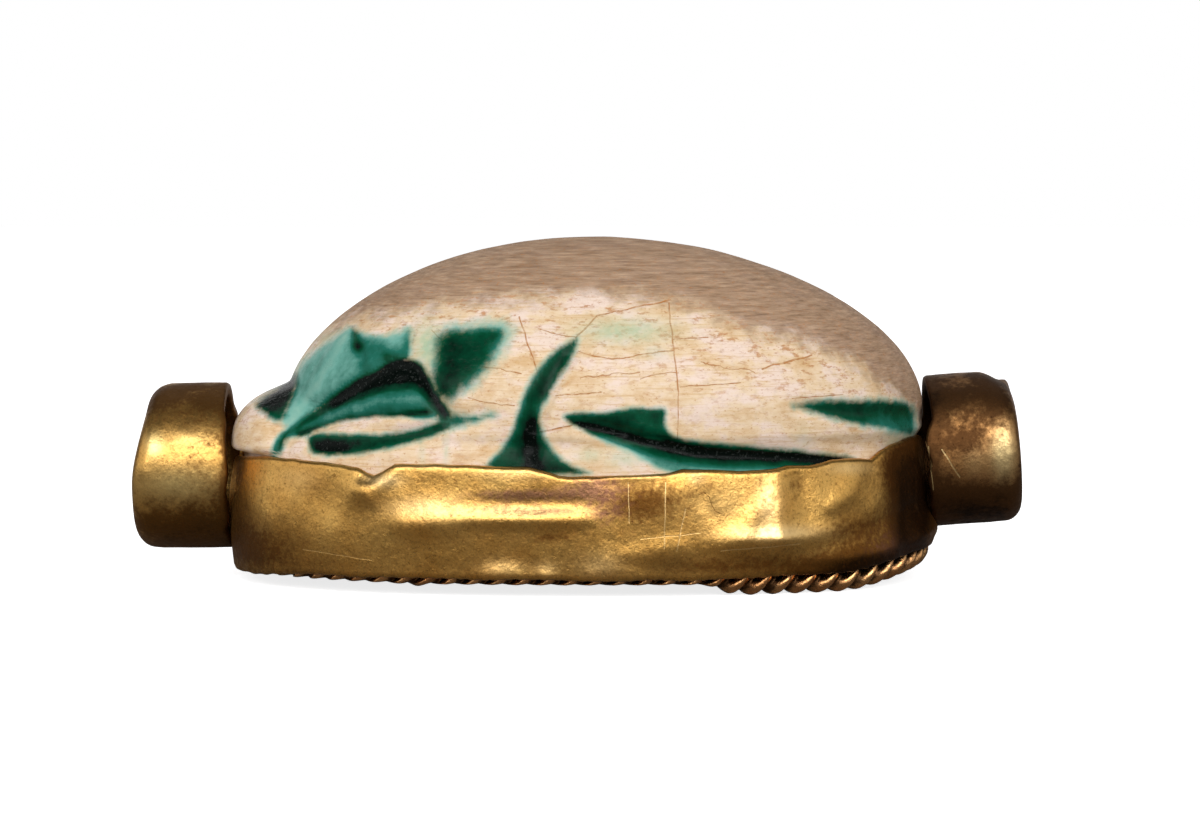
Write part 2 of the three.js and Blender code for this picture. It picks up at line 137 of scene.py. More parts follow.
@dataclass(frozen=True)
class SideView:
    """The view from the beetle's right flank, in steps of a fortieth of a millimetre.

    A place on a flank is given as steps across and down from the corner of this view, and the far
    flank is read as the mirror of the near one.
    """

    target: tuple[float, float, float] = (0.575, 0.0, 4.05)
    distance: float = 100.0
    elevation: float = math.radians(3.0)
    lens: float = 120.0
    sensor: float = 36.0
    width: float = 1200.0
    middle: tuple[float, float] = (600.0, 414.0)

    @property
    def pull(self) -> float:
        """Steps across for a point that lies as far aside as it is away."""
        return self.lens / self.sensor * self.width

    def project(self, points: Array) -> tuple[Array, Array]:
        """Finds where points are in the view.

        Args:
            points: Points in millimetres, one a row.

        Returns:
            Steps across and steps down.
        """
        x, y, z = (points[:, i] - self.target[i] for i in range(3))
        turn, lift = math.cos(self.elevation), math.sin(self.elevation)
        scale = self.pull / (self.distance + y * turn - z * lift)
        return self.middle[0] + scale * x, self.middle[1] - scale * (z * turn + y * lift)

    def height(self, down: Array, y: Array) -> Array:
        """Finds the height of what is so many steps down, on the upright plane at y."""
        turn, lift = math.cos(self.elevation), math.sin(self.elevation)
        up = self.middle[1] - down
        depth = self.distance + y * turn
        return self.target[2] + (up * depth - self.pull * y * lift) / (self.pull * turn + up * lift)

    def flank(self, points: Array) -> tuple[Array, Array]:
        """Projects points after folding the far flank onto the near one."""
        folded = points.copy()
        folded[:, 1] = -np.abs(folded[:, 1])
        return self.project(folded)


VIEW = SideView()
STEP = 0.025  # millimetres in one step of the side view
FLANK_Y = -5.2  # where the near flank lies, in millimetres, for lines drawn on it


def rounded(outline: Stations, times: int = 2) -> Array:
    """Cuts the corners of a closed outline, so that it runs round."""
    points = np.array(outline, float)
    for _ in range(times):
        after = np.roll(points, -1, axis=0)
        points = np.stack([0.75 * points + 0.25 * after, 0.25 * points + 0.75 * after], 1).reshape(-1, 2)
    return points


def depth_inside(outline: Stations, across: Array, down: Array, margin: float = 60.0) -> Array:
    """Measures how deep points lie inside a closed outline.

    Args:
        outline: Corners of the outline, in steps.
        across: Steps across of the points.
        down: Steps down of the points.
        margin: How far outside the outline the distance is still worked out, in steps.

    Returns:
        Millimetres from the edge, above 0 inside and below 0 outside.
    """
    points = rounded(outline)
    low, high = points.min(0) - margin, points.max(0) + margin
    near = (across > low[0]) & (across < high[0]) & (down > low[1]) & (down < high[1])
    result = np.full(len(across), -margin * STEP)
    x, y = across[near], down[near]
    nearest = np.full(len(x), np.inf)
    inside = np.zeros(len(x), bool)
    for (x0, y0), (x1, y1) in zip(points, np.roll(points, -1, axis=0)):
        dx, dy = x1 - x0, y1 - y0
        share = np.clip(((x - x0) * dx + (y - y0) * dy) / max(dx * dx + dy * dy, 1e-9), 0, 1)
        nearest = np.minimum(nearest, np.hypot(x - x0 - share * dx, y - y0 - share * dy))
        if y0 != y1:
            crosses = ((y0 > y) != (y1 > y)) & (x < (x1 - x0) * (y - y0) / (y1 - y0) + x0)
            inside ^= crosses
    result[near] = np.where(inside, nearest, -nearest) * STEP
    return result


def line_distance(path: Stations, across: Array, down: Array) -> tuple[Array, Array]:
    """Measures how far points are from a line.

    Args:
        path: Stations of the line, in steps.
        across: Steps across of the points.
        down: Steps down of the points.

    Returns:
        Distance in millimetres, and the share of the line's length at the nearest place.
    """
    stations = np.array(path, float)
    lengths = np.hypot(*np.diff(stations, axis=0).T)
    starts = np.concatenate([[0.0], np.cumsum(lengths)])
    nearest = np.full(len(across), np.inf)
    along = np.zeros(len(across))
    for i, length in enumerate(lengths):
        (x0, y0), (x1, y1) = stations[i], stations[i + 1]
        dx, dy = x1 - x0, y1 - y0
        share = np.clip(((across - x0) * dx + (down - y0) * dy) / (length * length), 0, 1)
        away = np.hypot(across - x0 - share * dx, down - y0 - share * dy)
        closer = away < nearest
        nearest = np.where(closer, away, nearest)
        along = np.where(closer, (starts[i] + share * length) / starts[-1], along)
    return nearest * STEP, along


@dataclass(frozen=True)
class Plan:
    """An egg-shaped plan, longer to one end than to the other."""

    middle: float
    to_head: float
    to_tail: float
    half_width: float
    power: float

    def reach(self, x: Array) -> Array:
        """Half length of the plan on the side where x lies."""
        return np.where(x < self.middle, self.to_head, self.to_tail)

    def level(self, x: Array, y: Array) -> Array:
        """Share of the plan at which x and y lie: 1 on its edge, 0 in its middle."""
        along = np.abs(x - self.middle) / self.reach(x)
        aside = np.abs(y) / self.half_width
        return (along**self.power + aside**self.power) ** (1 / self.power)

    def edge(self, angle: Array, offset: Array | float = 0.0) -> tuple[Array, Array]:
        """Finds points on the plan's edge.

        Args:
            angle: Angles round the plan.
            offset: How far outside the edge, in millimetres.

        Returns:
            x and y of the points.
        """
        c, s = np.cos(angle), np.sin(angle)
        reach = np.where(c < 0, self.to_head, self.to_tail)
        x = reach * np.sign(c) * np.abs(c) ** (2 / self.power)
        y = self.half_width * np.sign(s) * np.abs(s) ** (2 / self.power)
        nx = np.sign(x) * np.abs(x / reach) ** (self.power - 1) / reach
        ny = np.sign(y) * np.abs(y / self.half_width) ** (self.power - 1) / self.half_width
        length = np.hypot(nx, ny)
        return self.middle + x + nx / length * offset, y + ny / length * offset


@dataclass(frozen=True)
class Form:
    """A domed form on a plan: straight up to its spring, then curving in to its top."""

    plan: Plan
    foot: float
    ledge: float
    spring: float
    top: float
    power: float
    cut_off: float = math.inf

    UNDERCUT = 0.04
    SLOPE = 0.2

    def level(self, points: Array) -> Array:
        """Level of points: below 1 inside the form and above 1 outside it."""
        x, y, z = points.T
        undercut = 1 - self.UNDERCUT * np.clip((self.ledge - z) / max(self.ledge - self.foot, 0.05), 0, 1)
        share = self.plan.level(x, y) / undercut
        up = np.maximum(z - self.spring, 0) / (self.top - self.spring)
        level = (share**self.power + up**self.power) ** (1 / self.power)
        level = np.maximum(level, 1 + (self.foot - z) * self.SLOPE)
        return np.maximum(level, 1 + (z - self.cut_off) * self.SLOPE)


def welded(first: Array, second: Array, fillet: float) -> Array:
    """Joins two levels with a soft valley between them."""
    overlap = np.maximum(fillet - np.abs(first - second), 0) / fillet
    return np.minimum(first, second) - overlap * overlap * fillet / 4


BASE_PLAN = Plan(middle=0.4, to_head=8.7, to_tail=7.95, half_width=5.85, power=2.3)
BACK_PLAN = Plan(middle=0.4, to_head=7.65, to_tail=8.2, half_width=5.85, power=2.3)
HEAD_PLAN = Plan(middle=-6.4, to_head=2.2, to_tail=4.0, half_width=3.5, power=2.6)
BASE_SPRING = 2.9
BASE = Form(BASE_PLAN, foot=0.0, ledge=0.0, spring=BASE_SPRING, top=5.4, power=2.5, cut_off=3.9)
BACK = Form(BACK_PLAN, foot=3.3, ledge=3.8, spring=4.3, top=8.5, power=1.87)
HEAD = Form(HEAD_PLAN, foot=3.25, ledge=3.3, spring=3.3, top=4.85, power=2.4)
TAIL_SWING_START = 0.5
TAIL_LIFT = 0.42
TAIL_LIFT_SPAN = (6.3, 9.0)
SPIN_RADIUS = 3.0
BORE_LONGER = 8.0
NO_EDGE = 3.0  # how far from an edge the finish no longer minds it


def tail_share(x: Array) -> Array:
    """How far towards the tail end x lies, from 0 to 1, for what swings out there."""
    return ease((x - BASE_PLAN.middle) / BASE_PLAN.to_tail, TAIL_SWING_START, 1.0)


def tail_lift(x: Array) -> Array:
    """How far the foot, and the band's edge with it, is bent up towards the tail end, in millimetres."""
    return TAIL_LIFT * ease(x, *TAIL_LIFT_SPAN)


def box_mm(node: str) -> tuple[Array, Array]:
    """Lowest and highest corner of a node of the frame, in millimetres."""
    low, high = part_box(node)
    return np.array(low) / MM, np.array(high) / MM


def object_from(bm: bmesh.types.BMesh, name: str) -> bpy.types.Object:
    """Puts a finished bmesh into the scene as a smooth piece.

    Args:
        bm: The mesh, in millimetres. It is freed.
        name: Name of the piece.

    Returns:
        The new object, in metres.
    """
    bmesh.ops.recalc_face_normals(bm, faces=bm.faces[:])
    bmesh.ops.scale(bm, vec=(MM, MM, MM), verts=bm.verts[:])
    mesh = bpy.data.meshes.new(name)
    bm.to_mesh(mesh)
    bm.free()
    mesh.shade_smooth()
    made = bpy.data.objects.new(name, mesh)
    bpy.context.scene.collection.objects.link(made)
    return made


def vertex_points(bm: bmesh.types.BMesh) -> Array:
    """Coordinates of a bmesh's vertices, one a row."""
    return np.array([vert.co for vert in bm.verts], float)


def carry(bm: bmesh.types.BMesh, points: Array) -> None:
    """Moves a bmesh's vertices to the points."""
    for vert, point in zip(bm.verts, points):
        vert.co = point


def spun_ring(section: int, turns: int) -> tuple[bmesh.types.BMesh, Array, Array]:
    """Spins a closed section round the upright axis.

    Args:
        section: Number of points round the section.
        turns: Number of sections round the axis.

    Returns:
        The bmesh, and for each vertex its place in the section and its angle round the axis.
    """
    bm = bmesh.new()
    far, turned = Matrix.Translation((SPIN_RADIUS, 0.0, 0.0)), Matrix.Rotation(math.pi / 2, 4, "X")
    bmesh.ops.create_circle(bm, cap_ends=False, radius=1.0, segments=section, matrix=far @ turned)
    bmesh.ops.spin(
        bm, geom=bm.verts[:] + bm.edges[:], cent=(0, 0, 0), axis=(0, 0, 1), dvec=(0, 0, 0),
        angle=2 * math.pi, steps=turns, use_merge=True, use_duplicate=False,
    )
    bmesh.ops.remove_doubles(bm, verts=bm.verts[:], dist=1e-4)
    at = vertex_points(bm)
    angle = np.arctan2(at[:, 1], at[:, 0])
    radius = np.hypot(at[:, 0], at[:, 1]) - SPIN_RADIUS
    place = np.round(np.arctan2(at[:, 2], radius) / (2 * math.pi) * section).astype(int) % section
    return bm, place, angle


def bore_rod(diameter: float) -> bpy.types.Object:
    """Makes the boring tool, which runs from collar to collar and past both.

    Args:
        diameter: Its diameter in millimetres.

    Returns:
        The rod, which is removed after the cut.
    """
    ends = [HEAD_COLLAR.seat(), TAIL_COLLAR.seat()]
    along = (ends[1] - ends[0]).normalized()
    turned = along.to_track_quat("Z", "Y").to_matrix().to_4x4()
    bm = bmesh.new()
    bmesh.ops.create_cone(
        bm, cap_ends=True, segments=48, radius1=diameter / 2, radius2=diameter / 2,
        depth=(ends[1] - ends[0]).length + BORE_LONGER,
        matrix=Matrix.Translation((ends[0] + ends[1]) / 2) @ turned,
    )
    return object_from(bm, "bore_rod")


def bored(piece: bpy.types.Object, diameter: float) -> None:
    """Cuts the bore through a piece, for good."""
    rod = bore_rod(diameter)
    cut = piece.modifiers.new("bore", "BOOLEAN")
    cut.operation = "DIFFERENCE"
    cut.object = rod
    old = piece.data
    for solver in ("MANIFOLD", "EXACT"):
        cut.solver = solver
        graph = bpy.context.evaluated_depsgraph_get()
        result = bpy.data.meshes.new_from_object(piece.evaluated_get(graph))
        if len(result.vertices) > len(old.vertices) // 2 and len(result.vertices) != len(old.vertices):
            break
        bpy.data.meshes.remove(result)
    else:
        raise RuntimeError(f"the bore didn't cut {piece.name}")
    piece.modifiers.clear()
    piece.data = result
    result.name = piece.name
    bpy.data.meshes.remove(old)
    bpy.data.objects.remove(rod)
    result.shade_smooth()


def points_of(piece: bpy.types.Object) -> Array:
    """Vertices of a piece in millimetres, one a row."""
    flat = np.empty(len(piece.data.vertices) * 3, np.float32)
    piece.data.vertices.foreach_get("co", flat)
    return flat.reshape(-1, 3).astype(float) / MM


def write_value(piece: bpy.types.Object, name: str, values: Array) -> None:
    """Keeps one number for each vertex of a piece under a name that its finish reads."""
    layer = piece.data.attributes.new(name, "FLOAT", "POINT")
    layer.data.foreach_set("value", values.astype(np.float32))


@dataclass(frozen=True)
class Glaze:
    """One patch of green glaze: its outline, how soft its edge is and how dark it pools."""

    outline: Stations
    soft: float
    pool: float
    both: bool = True


@dataclass(frozen=True)
class Run:
    """A line that darkens (above 0) or lightens (below 0) the glaze along it."""

    path: Stations
    width: float
    pool: float


@dataclass(frozen=True)
class Cut:
    """A carved line: its half width and depth in millimetres, thin at both ends."""

    path: Stations
    width: float
    depth: float


GLAZE = (
    # dark slope at the front of the head
    Glaze(((251, 405), (262, 396), (280, 383), (296, 368), (301, 380), (294, 402), (284, 422), (275, 423),
           (263, 415)), 0.20, 0.95),
    # pale blue-green side of the head and of the neck shield
    Glaze(((283, 431), (279, 418), (290, 398), (293, 370), (313, 350), (333, 337), (351, 322), (361, 332),
           (376, 334), (392, 334), (412, 322), (413, 348), (410, 362), (385, 374), (354, 392), (318, 412),
           (295, 427)), 0.18, 0.32),
    # dark channel over the foreleg
    Glaze(((272, 450), (279, 434), (311, 410), (341, 389), (354, 379), (372, 372), (390, 361), (409, 356),
           (422, 361), (432, 376), (441, 394), (450, 408), (456, 416), (444, 427), (432, 413), (422, 399),
           (411, 391), (385, 395), (341, 408), (310, 425), (290, 436), (280, 458)), 0.15, 0.84),
    # where the channel runs out behind the foreleg
    Glaze(((440, 410), (456, 412), (474, 415), (492, 411), (502, 415), (486, 421), (462, 428), (444, 432),
           (432, 424)), 0.24, 0.72),
    # folded foreleg
    Glaze(((269, 459), (271, 442), (287, 423), (314, 409), (339, 397), (384, 384), (415, 380), (434, 393),
           (444, 414), (430, 422), (393, 416), (350, 420), (322, 428), (308, 437), (300, 438), (288, 438),
           (279, 448), (277, 460)), 0.12, 0.56),
    # dark lower part of the foreleg
    Glaze(((306, 433), (333, 432), (372, 434), (412, 430), (433, 422), (446, 418), (456, 424), (448, 432),
           (432, 438), (393, 449), (350, 457), (318, 457), (307, 451)), 0.15, 0.86),
    # patch on the wing case over the foreleg
    Glaze(((427, 392), (430, 362), (432, 336), (448, 324), (478, 321), (516, 320), (509, 346), (490, 371),
           (467, 393), (446, 405), (433, 403)), 0.38, 0.80, False),
    # middle leg
    Glaze(((579, 332), (549, 353), (530, 377), (520, 400), (514, 421), (507, 439), (494, 456), (474, 473),
           (606, 478), (570, 464), (552, 449), (542, 430), (541, 413), (549, 398), (560, 378), (573, 360),
           (580, 342)), 0.17, 0.78),
    # hind leg
    Glaze(((560, 417), (571, 411), (601, 412), (619, 409), (640, 405), (650, 408), (669, 406), (665, 427),
           (676, 437), (698, 441), (740, 444), (820, 452), (856, 456), (866, 470), (690, 478), (662, 472),
           (646, 463), (628, 452), (606, 444), (580, 431)), 0.14, 0.80),
    # edge of the wing case at the tail
    Glaze(((786, 406), (812, 400), (833, 398), (870, 398), (916, 399), (919, 440), (896, 434), (872, 429),
           (845, 424), (812, 414)), 0.20, 0.84),
)
BARE = (
    # unglazed strip between the two parts of the foreleg
    Glaze(((322, 431), (340, 426), (372, 422), (411, 419), (431, 421), (422, 427), (396, 431), (372, 432),
           (333, 433)), 0.10, 0.0),
    Glaze(((278, 462), (284, 448), (296, 441), (307, 441), (308, 455), (304, 464)), 0.08, 0.0),
)
RUNS = (
    Run(((286, 428), (312, 392), (350, 330)), 0.10, -0.16),
    Run(((352, 320), (357, 346)), 0.13, 0.42),
    Run(((360, 350), (366, 372)), 0.20, 0.16),
    Run(((413, 320), (408, 346)), 0.16, 0.30),
    Run(((392, 338), (400, 334)), 0.30, -0.08),
    Run(((374, 345), (390, 364)), 0.40, 0.20),
    Run(((322, 418), (380, 401), (418, 399)), 0.13, -0.14),
    Run(((300, 434), (350, 419), (393, 416), (428, 412)), 0.09, 0.38),
    Run(((320, 448), (346, 447)), 0.15, 0.15),
    Run(((334, 399), (358, 384), (384, 374), (412, 370)), 0.22, 0.26),
    Run(((412, 370), (430, 388), (446, 414)), 0.20, 0.12),
    Run(((388, 358), (404, 356)), 0.16, 0.22),
    Run(((254, 402), (284, 386)), 0.22, 0.16),
    Run(((276, 416), (290, 408)), 0.14, -0.12),
    Run(((568, 422), (601, 429), (640, 440), (690, 452)), 0.075, 0.34),
    Run(((668, 446), (720, 454), (790, 455), (860, 461)), 0.15, 0.30),
    Run(((600, 442), (632, 454), (668, 466), (720, 472), (790, 474)), 0.17, -0.36),
    Run(((644, 420), (652, 432)), 0.22, -0.10),
    Run(((533, 470), (531, 436), (534, 424)), 0.20, 0.26),
    Run(((548, 392), (562, 366)), 0.20, 0.12),
    Run(((880, 424), (918, 428)), 0.40, -0.22),
    Run(((512, 470), (575, 473)), 0.16, 0.16),
    Run(((452, 322), (516, 322)), 0.20, -0.24),
    Run(((516, 322), (504, 352)), 0.30, -0.24),
    Run(((446, 340), (452, 392)), 0.34, 0.10),
)
VEILS = (
    (625, 331, 45, 12, 0.85), (427, 346, 15, 22, 1.0), (486, 331, 28, 8, 0.5), (898, 441, 16, 12, 0.55),
    (422, 452, 3, 14, 0.35), (446, 450, 3, 18, 0.45), (655, 352, 14, 8, 0.35), (590, 455, 14, 7, 0.5),
    (626, 458, 20, 9, 0.60), (803, 440, 8, 16, 0.22), (300, 362, 12, 10, 0.5), (330, 338, 20, 6, 0.4),
)
WEAR_EDGE = (
    (230, 352), (300, 345), (345, 322), (420, 312), (520, 299), (600, 296), (671, 302), (719, 318),
    (762, 333), (820, 346), (862, 372), (900, 402), (930, 425),
)
CUTS = (
    Cut(((268, 458), (279, 436), (311, 414), (341, 395), (366, 380), (390, 369), (410, 367), (428, 384),
         (440, 404), (454, 421), (486, 416)), 0.30, 0.15),
    Cut(((302, 444), (350, 446), (395, 438), (436, 426), (456, 419)), 0.24, 0.06),
    Cut(((300, 436), (350, 420), (393, 416), (428, 413)), 0.09, 0.05),
    Cut(((353, 316), (357, 336), (362, 366)), 0.13, 0.05),
    Cut(((413, 318), (409, 345), (411, 360)), 0.13, 0.05),
    Cut(((576, 338), (558, 368), (538, 408), (531, 440), (526, 476)), 0.30, 0.19),
    Cut(((560, 420), (601, 429), (640, 440), (697, 455), (760, 457), (850, 462)), 0.26, 0.17),
    Cut(((786, 406), (845, 411), (925, 417)), 0.24, 0.13),
    Cut(((250, 408), (268, 420), (282, 432)), 0.14, 0.06),
)
RIDGES = (
    Cut(((286, 428), (312, 392), (350, 330)), 0.22, -0.05),
    Cut(((318, 416), (380, 402), (420, 400)), 0.26, -0.06),
    Cut(((322, 428), (372, 427), (425, 422)), 0.16, -0.04),
)


@dataclass
class Stone:
    """The glazed stone beetle, with its carving and its engraved seal face."""

    name: str = "beetle_stone"
    round_count: int = 440
    dome_rows: int = 130
    wall_rows: int = 5
    face_rows: int = 72
    near_crowding: float = 0.28
    seal_face: float = field(default_factory=lambda: float(box_mm("scarab_stone")[0][2]))
    edge_bevel: float = 0.12
    core: tuple[float, float, float] = (0.4, 0.0, BASE_SPRING)
    spread: tuple[float, float, float] = (8.3, 5.85, 5.6)
    fillet: float = 0.02
    neck_fillet: float = 0.10
    swell: float = 0.018
    swell_grain: float = 1.6
    ripple: float = 0.006
    ripple_grain: float = 0.45
    border_inset: float = 1.08
    stroke_width: float = 0.18
    stroke_depth: float = 0.25
    stroke_length: float = 1.5
    stroke_pitch: float = 1.8
    stroke_slant: float = 0.5
    stroke_rows: int = 3
    row_pitch: float = 2.4
    seam_start: float = -2.6
    seam_end: float = 7.6
    seam_width: float = 0.14
    seam_depth: float = 0.07
    shield_bow: float = 0.25
    shield_reach: float = 4.3
    wear_top: float = 2.5
    bore: float = 1.5

    def level(self, points: Array) -> Array:
        """Level of the whole stone: 1 on its surface."""
        body = welded(BACK.level(points), HEAD.level(points), self.neck_fillet)
        return welded(body, BASE.level(points), self.fillet)

    def outward(self, points: Array) -> Array:
        """Outward directions near the surface, one a row."""
        step = 0.02
        slopes = [
            self.level(points + step * axis) - self.level(points - step * axis) for axis in np.eye(3)
        ]
        slope = np.stack(slopes, 1)
        return slope / np.maximum(np.linalg.norm(slope, axis=1, keepdims=True), 1e-9)

    def surface(self, angle: Array, rise: Array) -> Array:
        """Casts rays from the core to the surface.

        Args:
            angle: Angles round the stone.
            rise: Angles above the core's level.

        Returns:
            The surface points, one a row.
        """
        flat = np.cos(rise)
        rays = np.stack([np.cos(angle) * flat, np.sin(angle) * flat, np.sin(rise)], 1) * self.spread
        low, high = np.full(len(rays), 0.2), np.full(len(rays), 1.6)
        for _ in range(26):
            middle = (low + high) / 2
            inside = self.level(self.core + rays * middle[:, None]) < 1
            low, high = np.where(inside, middle, low), np.where(inside, high, middle)
        return self.core + rays * low[:, None]

    def flank_relief(self, points: Array) -> Array:
        """How deep the carved lines of the flanks cut at the points, in millimetres."""
        across, down = VIEW.flank(points)
        depth = np.zeros(len(points))
        for cut in CUTS + RIDGES:
            away, along = line_distance(cut.path, across, down)
            taper = ease(along, 0.0, 0.12) * (1 - 0.6 * ease(along, 0.8, 1.0))
            share = np.clip(1 - (away / (cut.width * 1.25)) ** 2, 0, 1) ** 1.5 * taper * cut.depth
            depth = np.where(cut.depth < 0, depth + share, np.maximum(depth, share))
        low = ease(points[:, 2], 2.6, 3.0)
        return depth * low * ease(np.abs(points[:, 1]), 0.3, 1.2)

    def back_relief(self, points: Array) -> Array:
        """How deep the lines across the back cut: the wing seam and the line behind the neck shield."""
        x, y, z = points.T
        on_back = ease(z, 5.0, 5.6)
        seam = bell(y, self.seam_width) * ease(x, self.seam_start, self.seam_start + 0.5)
        seam *= 1 - ease(x, self.seam_end - 1, self.seam_end)
        bow = self.seam_start - self.shield_bow * (y / self.shield_reach) ** 2
        shield = bell(x - bow, self.seam_width) * ease(y, 0.5, 1.5) * (1 - ease(y, 3.9, 4.6))
        return self.seam_depth * np.maximum(seam, shield) * on_back

    def seal_relief(self, x: Array, y: Array) -> Array:
        """How deep the seal face is engraved: a border line, and rows of short slanted strokes."""
        level = BASE_PLAN.level(x, y)
        step = 0.01
        slope = np.hypot(
            (BASE_PLAN.level(x + step, y) - BASE_PLAN.level(x - step, y)) / (2 * step),
            (BASE_PLAN.level(x, y + step) - BASE_PLAN.level(x, y - step)) / (2 * step),
        )
        inset = (1 - level) / np.maximum(slope, 1e-6)
        depth = self.stroke_depth * np.clip(1 - np.abs(inset - self.border_inset) / self.stroke_width, 0, 1)
        inner = self.border_inset + self.stroke_width
        for row in range(self.stroke_rows):
            middle = (row - (self.stroke_rows - 1) / 2) * self.row_pitch
            room = 1 - ((abs(middle) + self.stroke_length / 2) / (BASE_PLAN.half_width - inner)) ** 2
            reach = (BASE_PLAN.to_tail - inner) * math.sqrt(max(room, 0)) - 2 * self.stroke_width
            count = int(reach // self.stroke_pitch)
            for i in range(-count, count + 1):
                slant = self.stroke_slant if (i + row) % 2 == 0 else -self.stroke_slant
                dx, dy = x - BASE_PLAN.middle - i * self.stroke_pitch, y - middle
                aside = np.abs(dx * math.cos(slant) + dy * math.sin(slant))
                along = np.abs(dy * math.cos(slant) - dx * math.sin(slant))
                mark = np.clip(1 - aside / self.stroke_width, 0, 1)
                mark *= np.clip((self.stroke_length / 2 - along) / 0.1, 0, 1)
                depth = np.maximum(depth, self.stroke_depth * mark)
        return depth

    def build(self) -> bpy.types.Object:
        """Makes the stone from a sphere of rings, carried onto its form and carved.

        Returns:
            The bored stone.
        """
        rows = self.dome_rows + self.wall_rows + self.face_rows
        bm = bmesh.new()
        bmesh.ops.create_uvsphere(bm, u_segments=self.round_count, v_segments=rows, radius=1.0)
        at = vertex_points(bm)
        row = np.round(np.arccos(np.clip(at[:, 2], -1, 1)) / math.pi * rows)
        turn = np.arctan2(at[:, 1], at[:, 0])
        angle = turn - self.near_crowding * np.cos(turn)
        rise = np.maximum(1 - row / self.dome_rows, 0) * math.pi / 2
        points = self.surface(angle, rise)

        dome = row < self.dome_rows
        above = points[dome]
        depth = self.flank_relief(above) + self.back_relief(above)
        swell = self.swell * rough_field(above, self.swell_grain, 3)
        swell += self.ripple * rough_field(above, self.ripple_grain, 4)
        swell *= ease(above[:, 2], 2.7, 3.4)
        points[dome] = above + self.outward(above) * (swell - depth)[:, None]

        wall = np.clip((row - self.dome_rows) / self.wall_rows, 0, 1)[~dome]
        share = 1 - np.clip((row - self.dome_rows - self.wall_rows) / self.face_rows, 0, 1)[~dome]
        under = points[~dome]
        foot = self.seal_face + self.edge_bevel
        z = self.core[2] + (foot - self.core[2]) * wall
        on_face = row[~dome] > self.dome_rows + self.wall_rows
        inset = 1 - self.edge_bevel / BASE_PLAN.half_width
        share = np.where(on_face, share * inset / (1 - 1 / self.face_rows), 1.0)
        x = self.core[0] + (under[:, 0] - self.core[0]) * share
        y = under[:, 1] * share
        z = np.where(on_face, self.seal_face + self.seal_relief(x, y), z)
        points[~dome] = np.stack([x, y, z], 1)
        carry(bm, points)
        made = object_from(bm, self.name)
        bored(made, self.bore)
        self.write_glaze(made)
        return made

    def write_glaze(self, piece: bpy.types.Object) -> None:
        """Keeps on the mesh where the glaze, its veils and the worn top lie.

        Args:
            piece: The stone.
        """
        points = points_of(piece)
        across, down = VIEW.flank(points)
        far = points[:, 1] > 0.0
        edge = np.full(len(points), -NO_EDGE)
        pool = np.zeros(len(points))
        for patch in GLAZE:
            deep = depth_inside(patch.outline, across, down) / patch.soft
            if not patch.both:
                deep = np.where(far, -NO_EDGE, deep)
            share = ease(deep, -1.0, 1.0)
            pool = np.maximum(pool, patch.pool * share)
            edge = np.maximum(edge, deep)
        for patch in BARE:
            edge = np.minimum(edge, -depth_inside(patch.outline, across, down) / patch.soft)
        pool -= 0.17 * (1 - ease(edge, -0.8, 2.2))
        for run in RUNS:
            away, _ = line_distance(run.path, across, down)
            pool += run.pool * bell(away, run.width)
        veil = np.zeros(len(points))
        for middle, height, wide, tall, strength in VEILS:
            spread = ((across - middle) / wide) ** 2 + ((down - height) / tall) ** 2
            veil = np.maximum(veil, strength * np.exp(-spread))
        stations = np.array(WEAR_EDGE, float)
        wear = (np.interp(across, stations[:, 0], stations[:, 1]) - down) * STEP
        above = points[:, 2] > self.wear_top
        on_face = points[:, 2] < self.seal_face + 2 * self.stroke_depth
        engraved = self.seal_relief(points[:, 0], points[:, 1]) / self.stroke_depth
        write_value(piece, "engraved", np.where(on_face, engraved, 0))
        write_value(piece, "glaze", np.where(above, np.clip(edge, -NO_EDGE, NO_EDGE), -NO_EDGE))
        write_value(piece, "pool", np.clip(pool, 0, 1.1))
        write_value(piece, "veil", np.where(above, veil, 0))
        write_value(piece, "wear", np.where(above, np.clip(wear, -NO_EDGE, NO_EDGE), -NO_EDGE))


BAND_TOP_NEAR = (
    (225, 455), (244, 456), (275, 457), (305, 461), (340, 464), (356, 467), (366, 473), (373, 475),
    (382, 471), (394, 464), (425, 464), (462, 465), (500, 466), (530, 467), (545, 471), (559, 476),
    (580, 477), (603, 476), (640, 475), (667, 473), (682, 469), (710, 470), (739, 471), (772, 469),
    (788, 466), (815, 465), (832, 461), (848, 459), (862, 458), (874, 459), (884, 450), (893, 445),
    (902, 442), (915, 436), (930, 434),
)
BAND_TOP_FAR = ((-0.97, 3.16), (-0.5, 3.01), (-0.05, 3.1), (0.45, 2.98), (0.99, 3.6))
BAND_BOTTOM = (
    (-0.98, 0.28), (-0.80, 0.40), (-0.3, 0.44), (0.2, 0.41), (0.36, 0.42), (0.5, 0.45), (0.8, 0.50),
    (1.0, 0.50),
)


@dataclass(frozen=True)
class Fold:
    """A ridge (height above 0) or furrow in the band, along a path in the side view.

    One that grows starts as nothing and is widest and highest at the end of its path.
    """

    path: Stations
    width: float
    height: float
    grows: bool = False


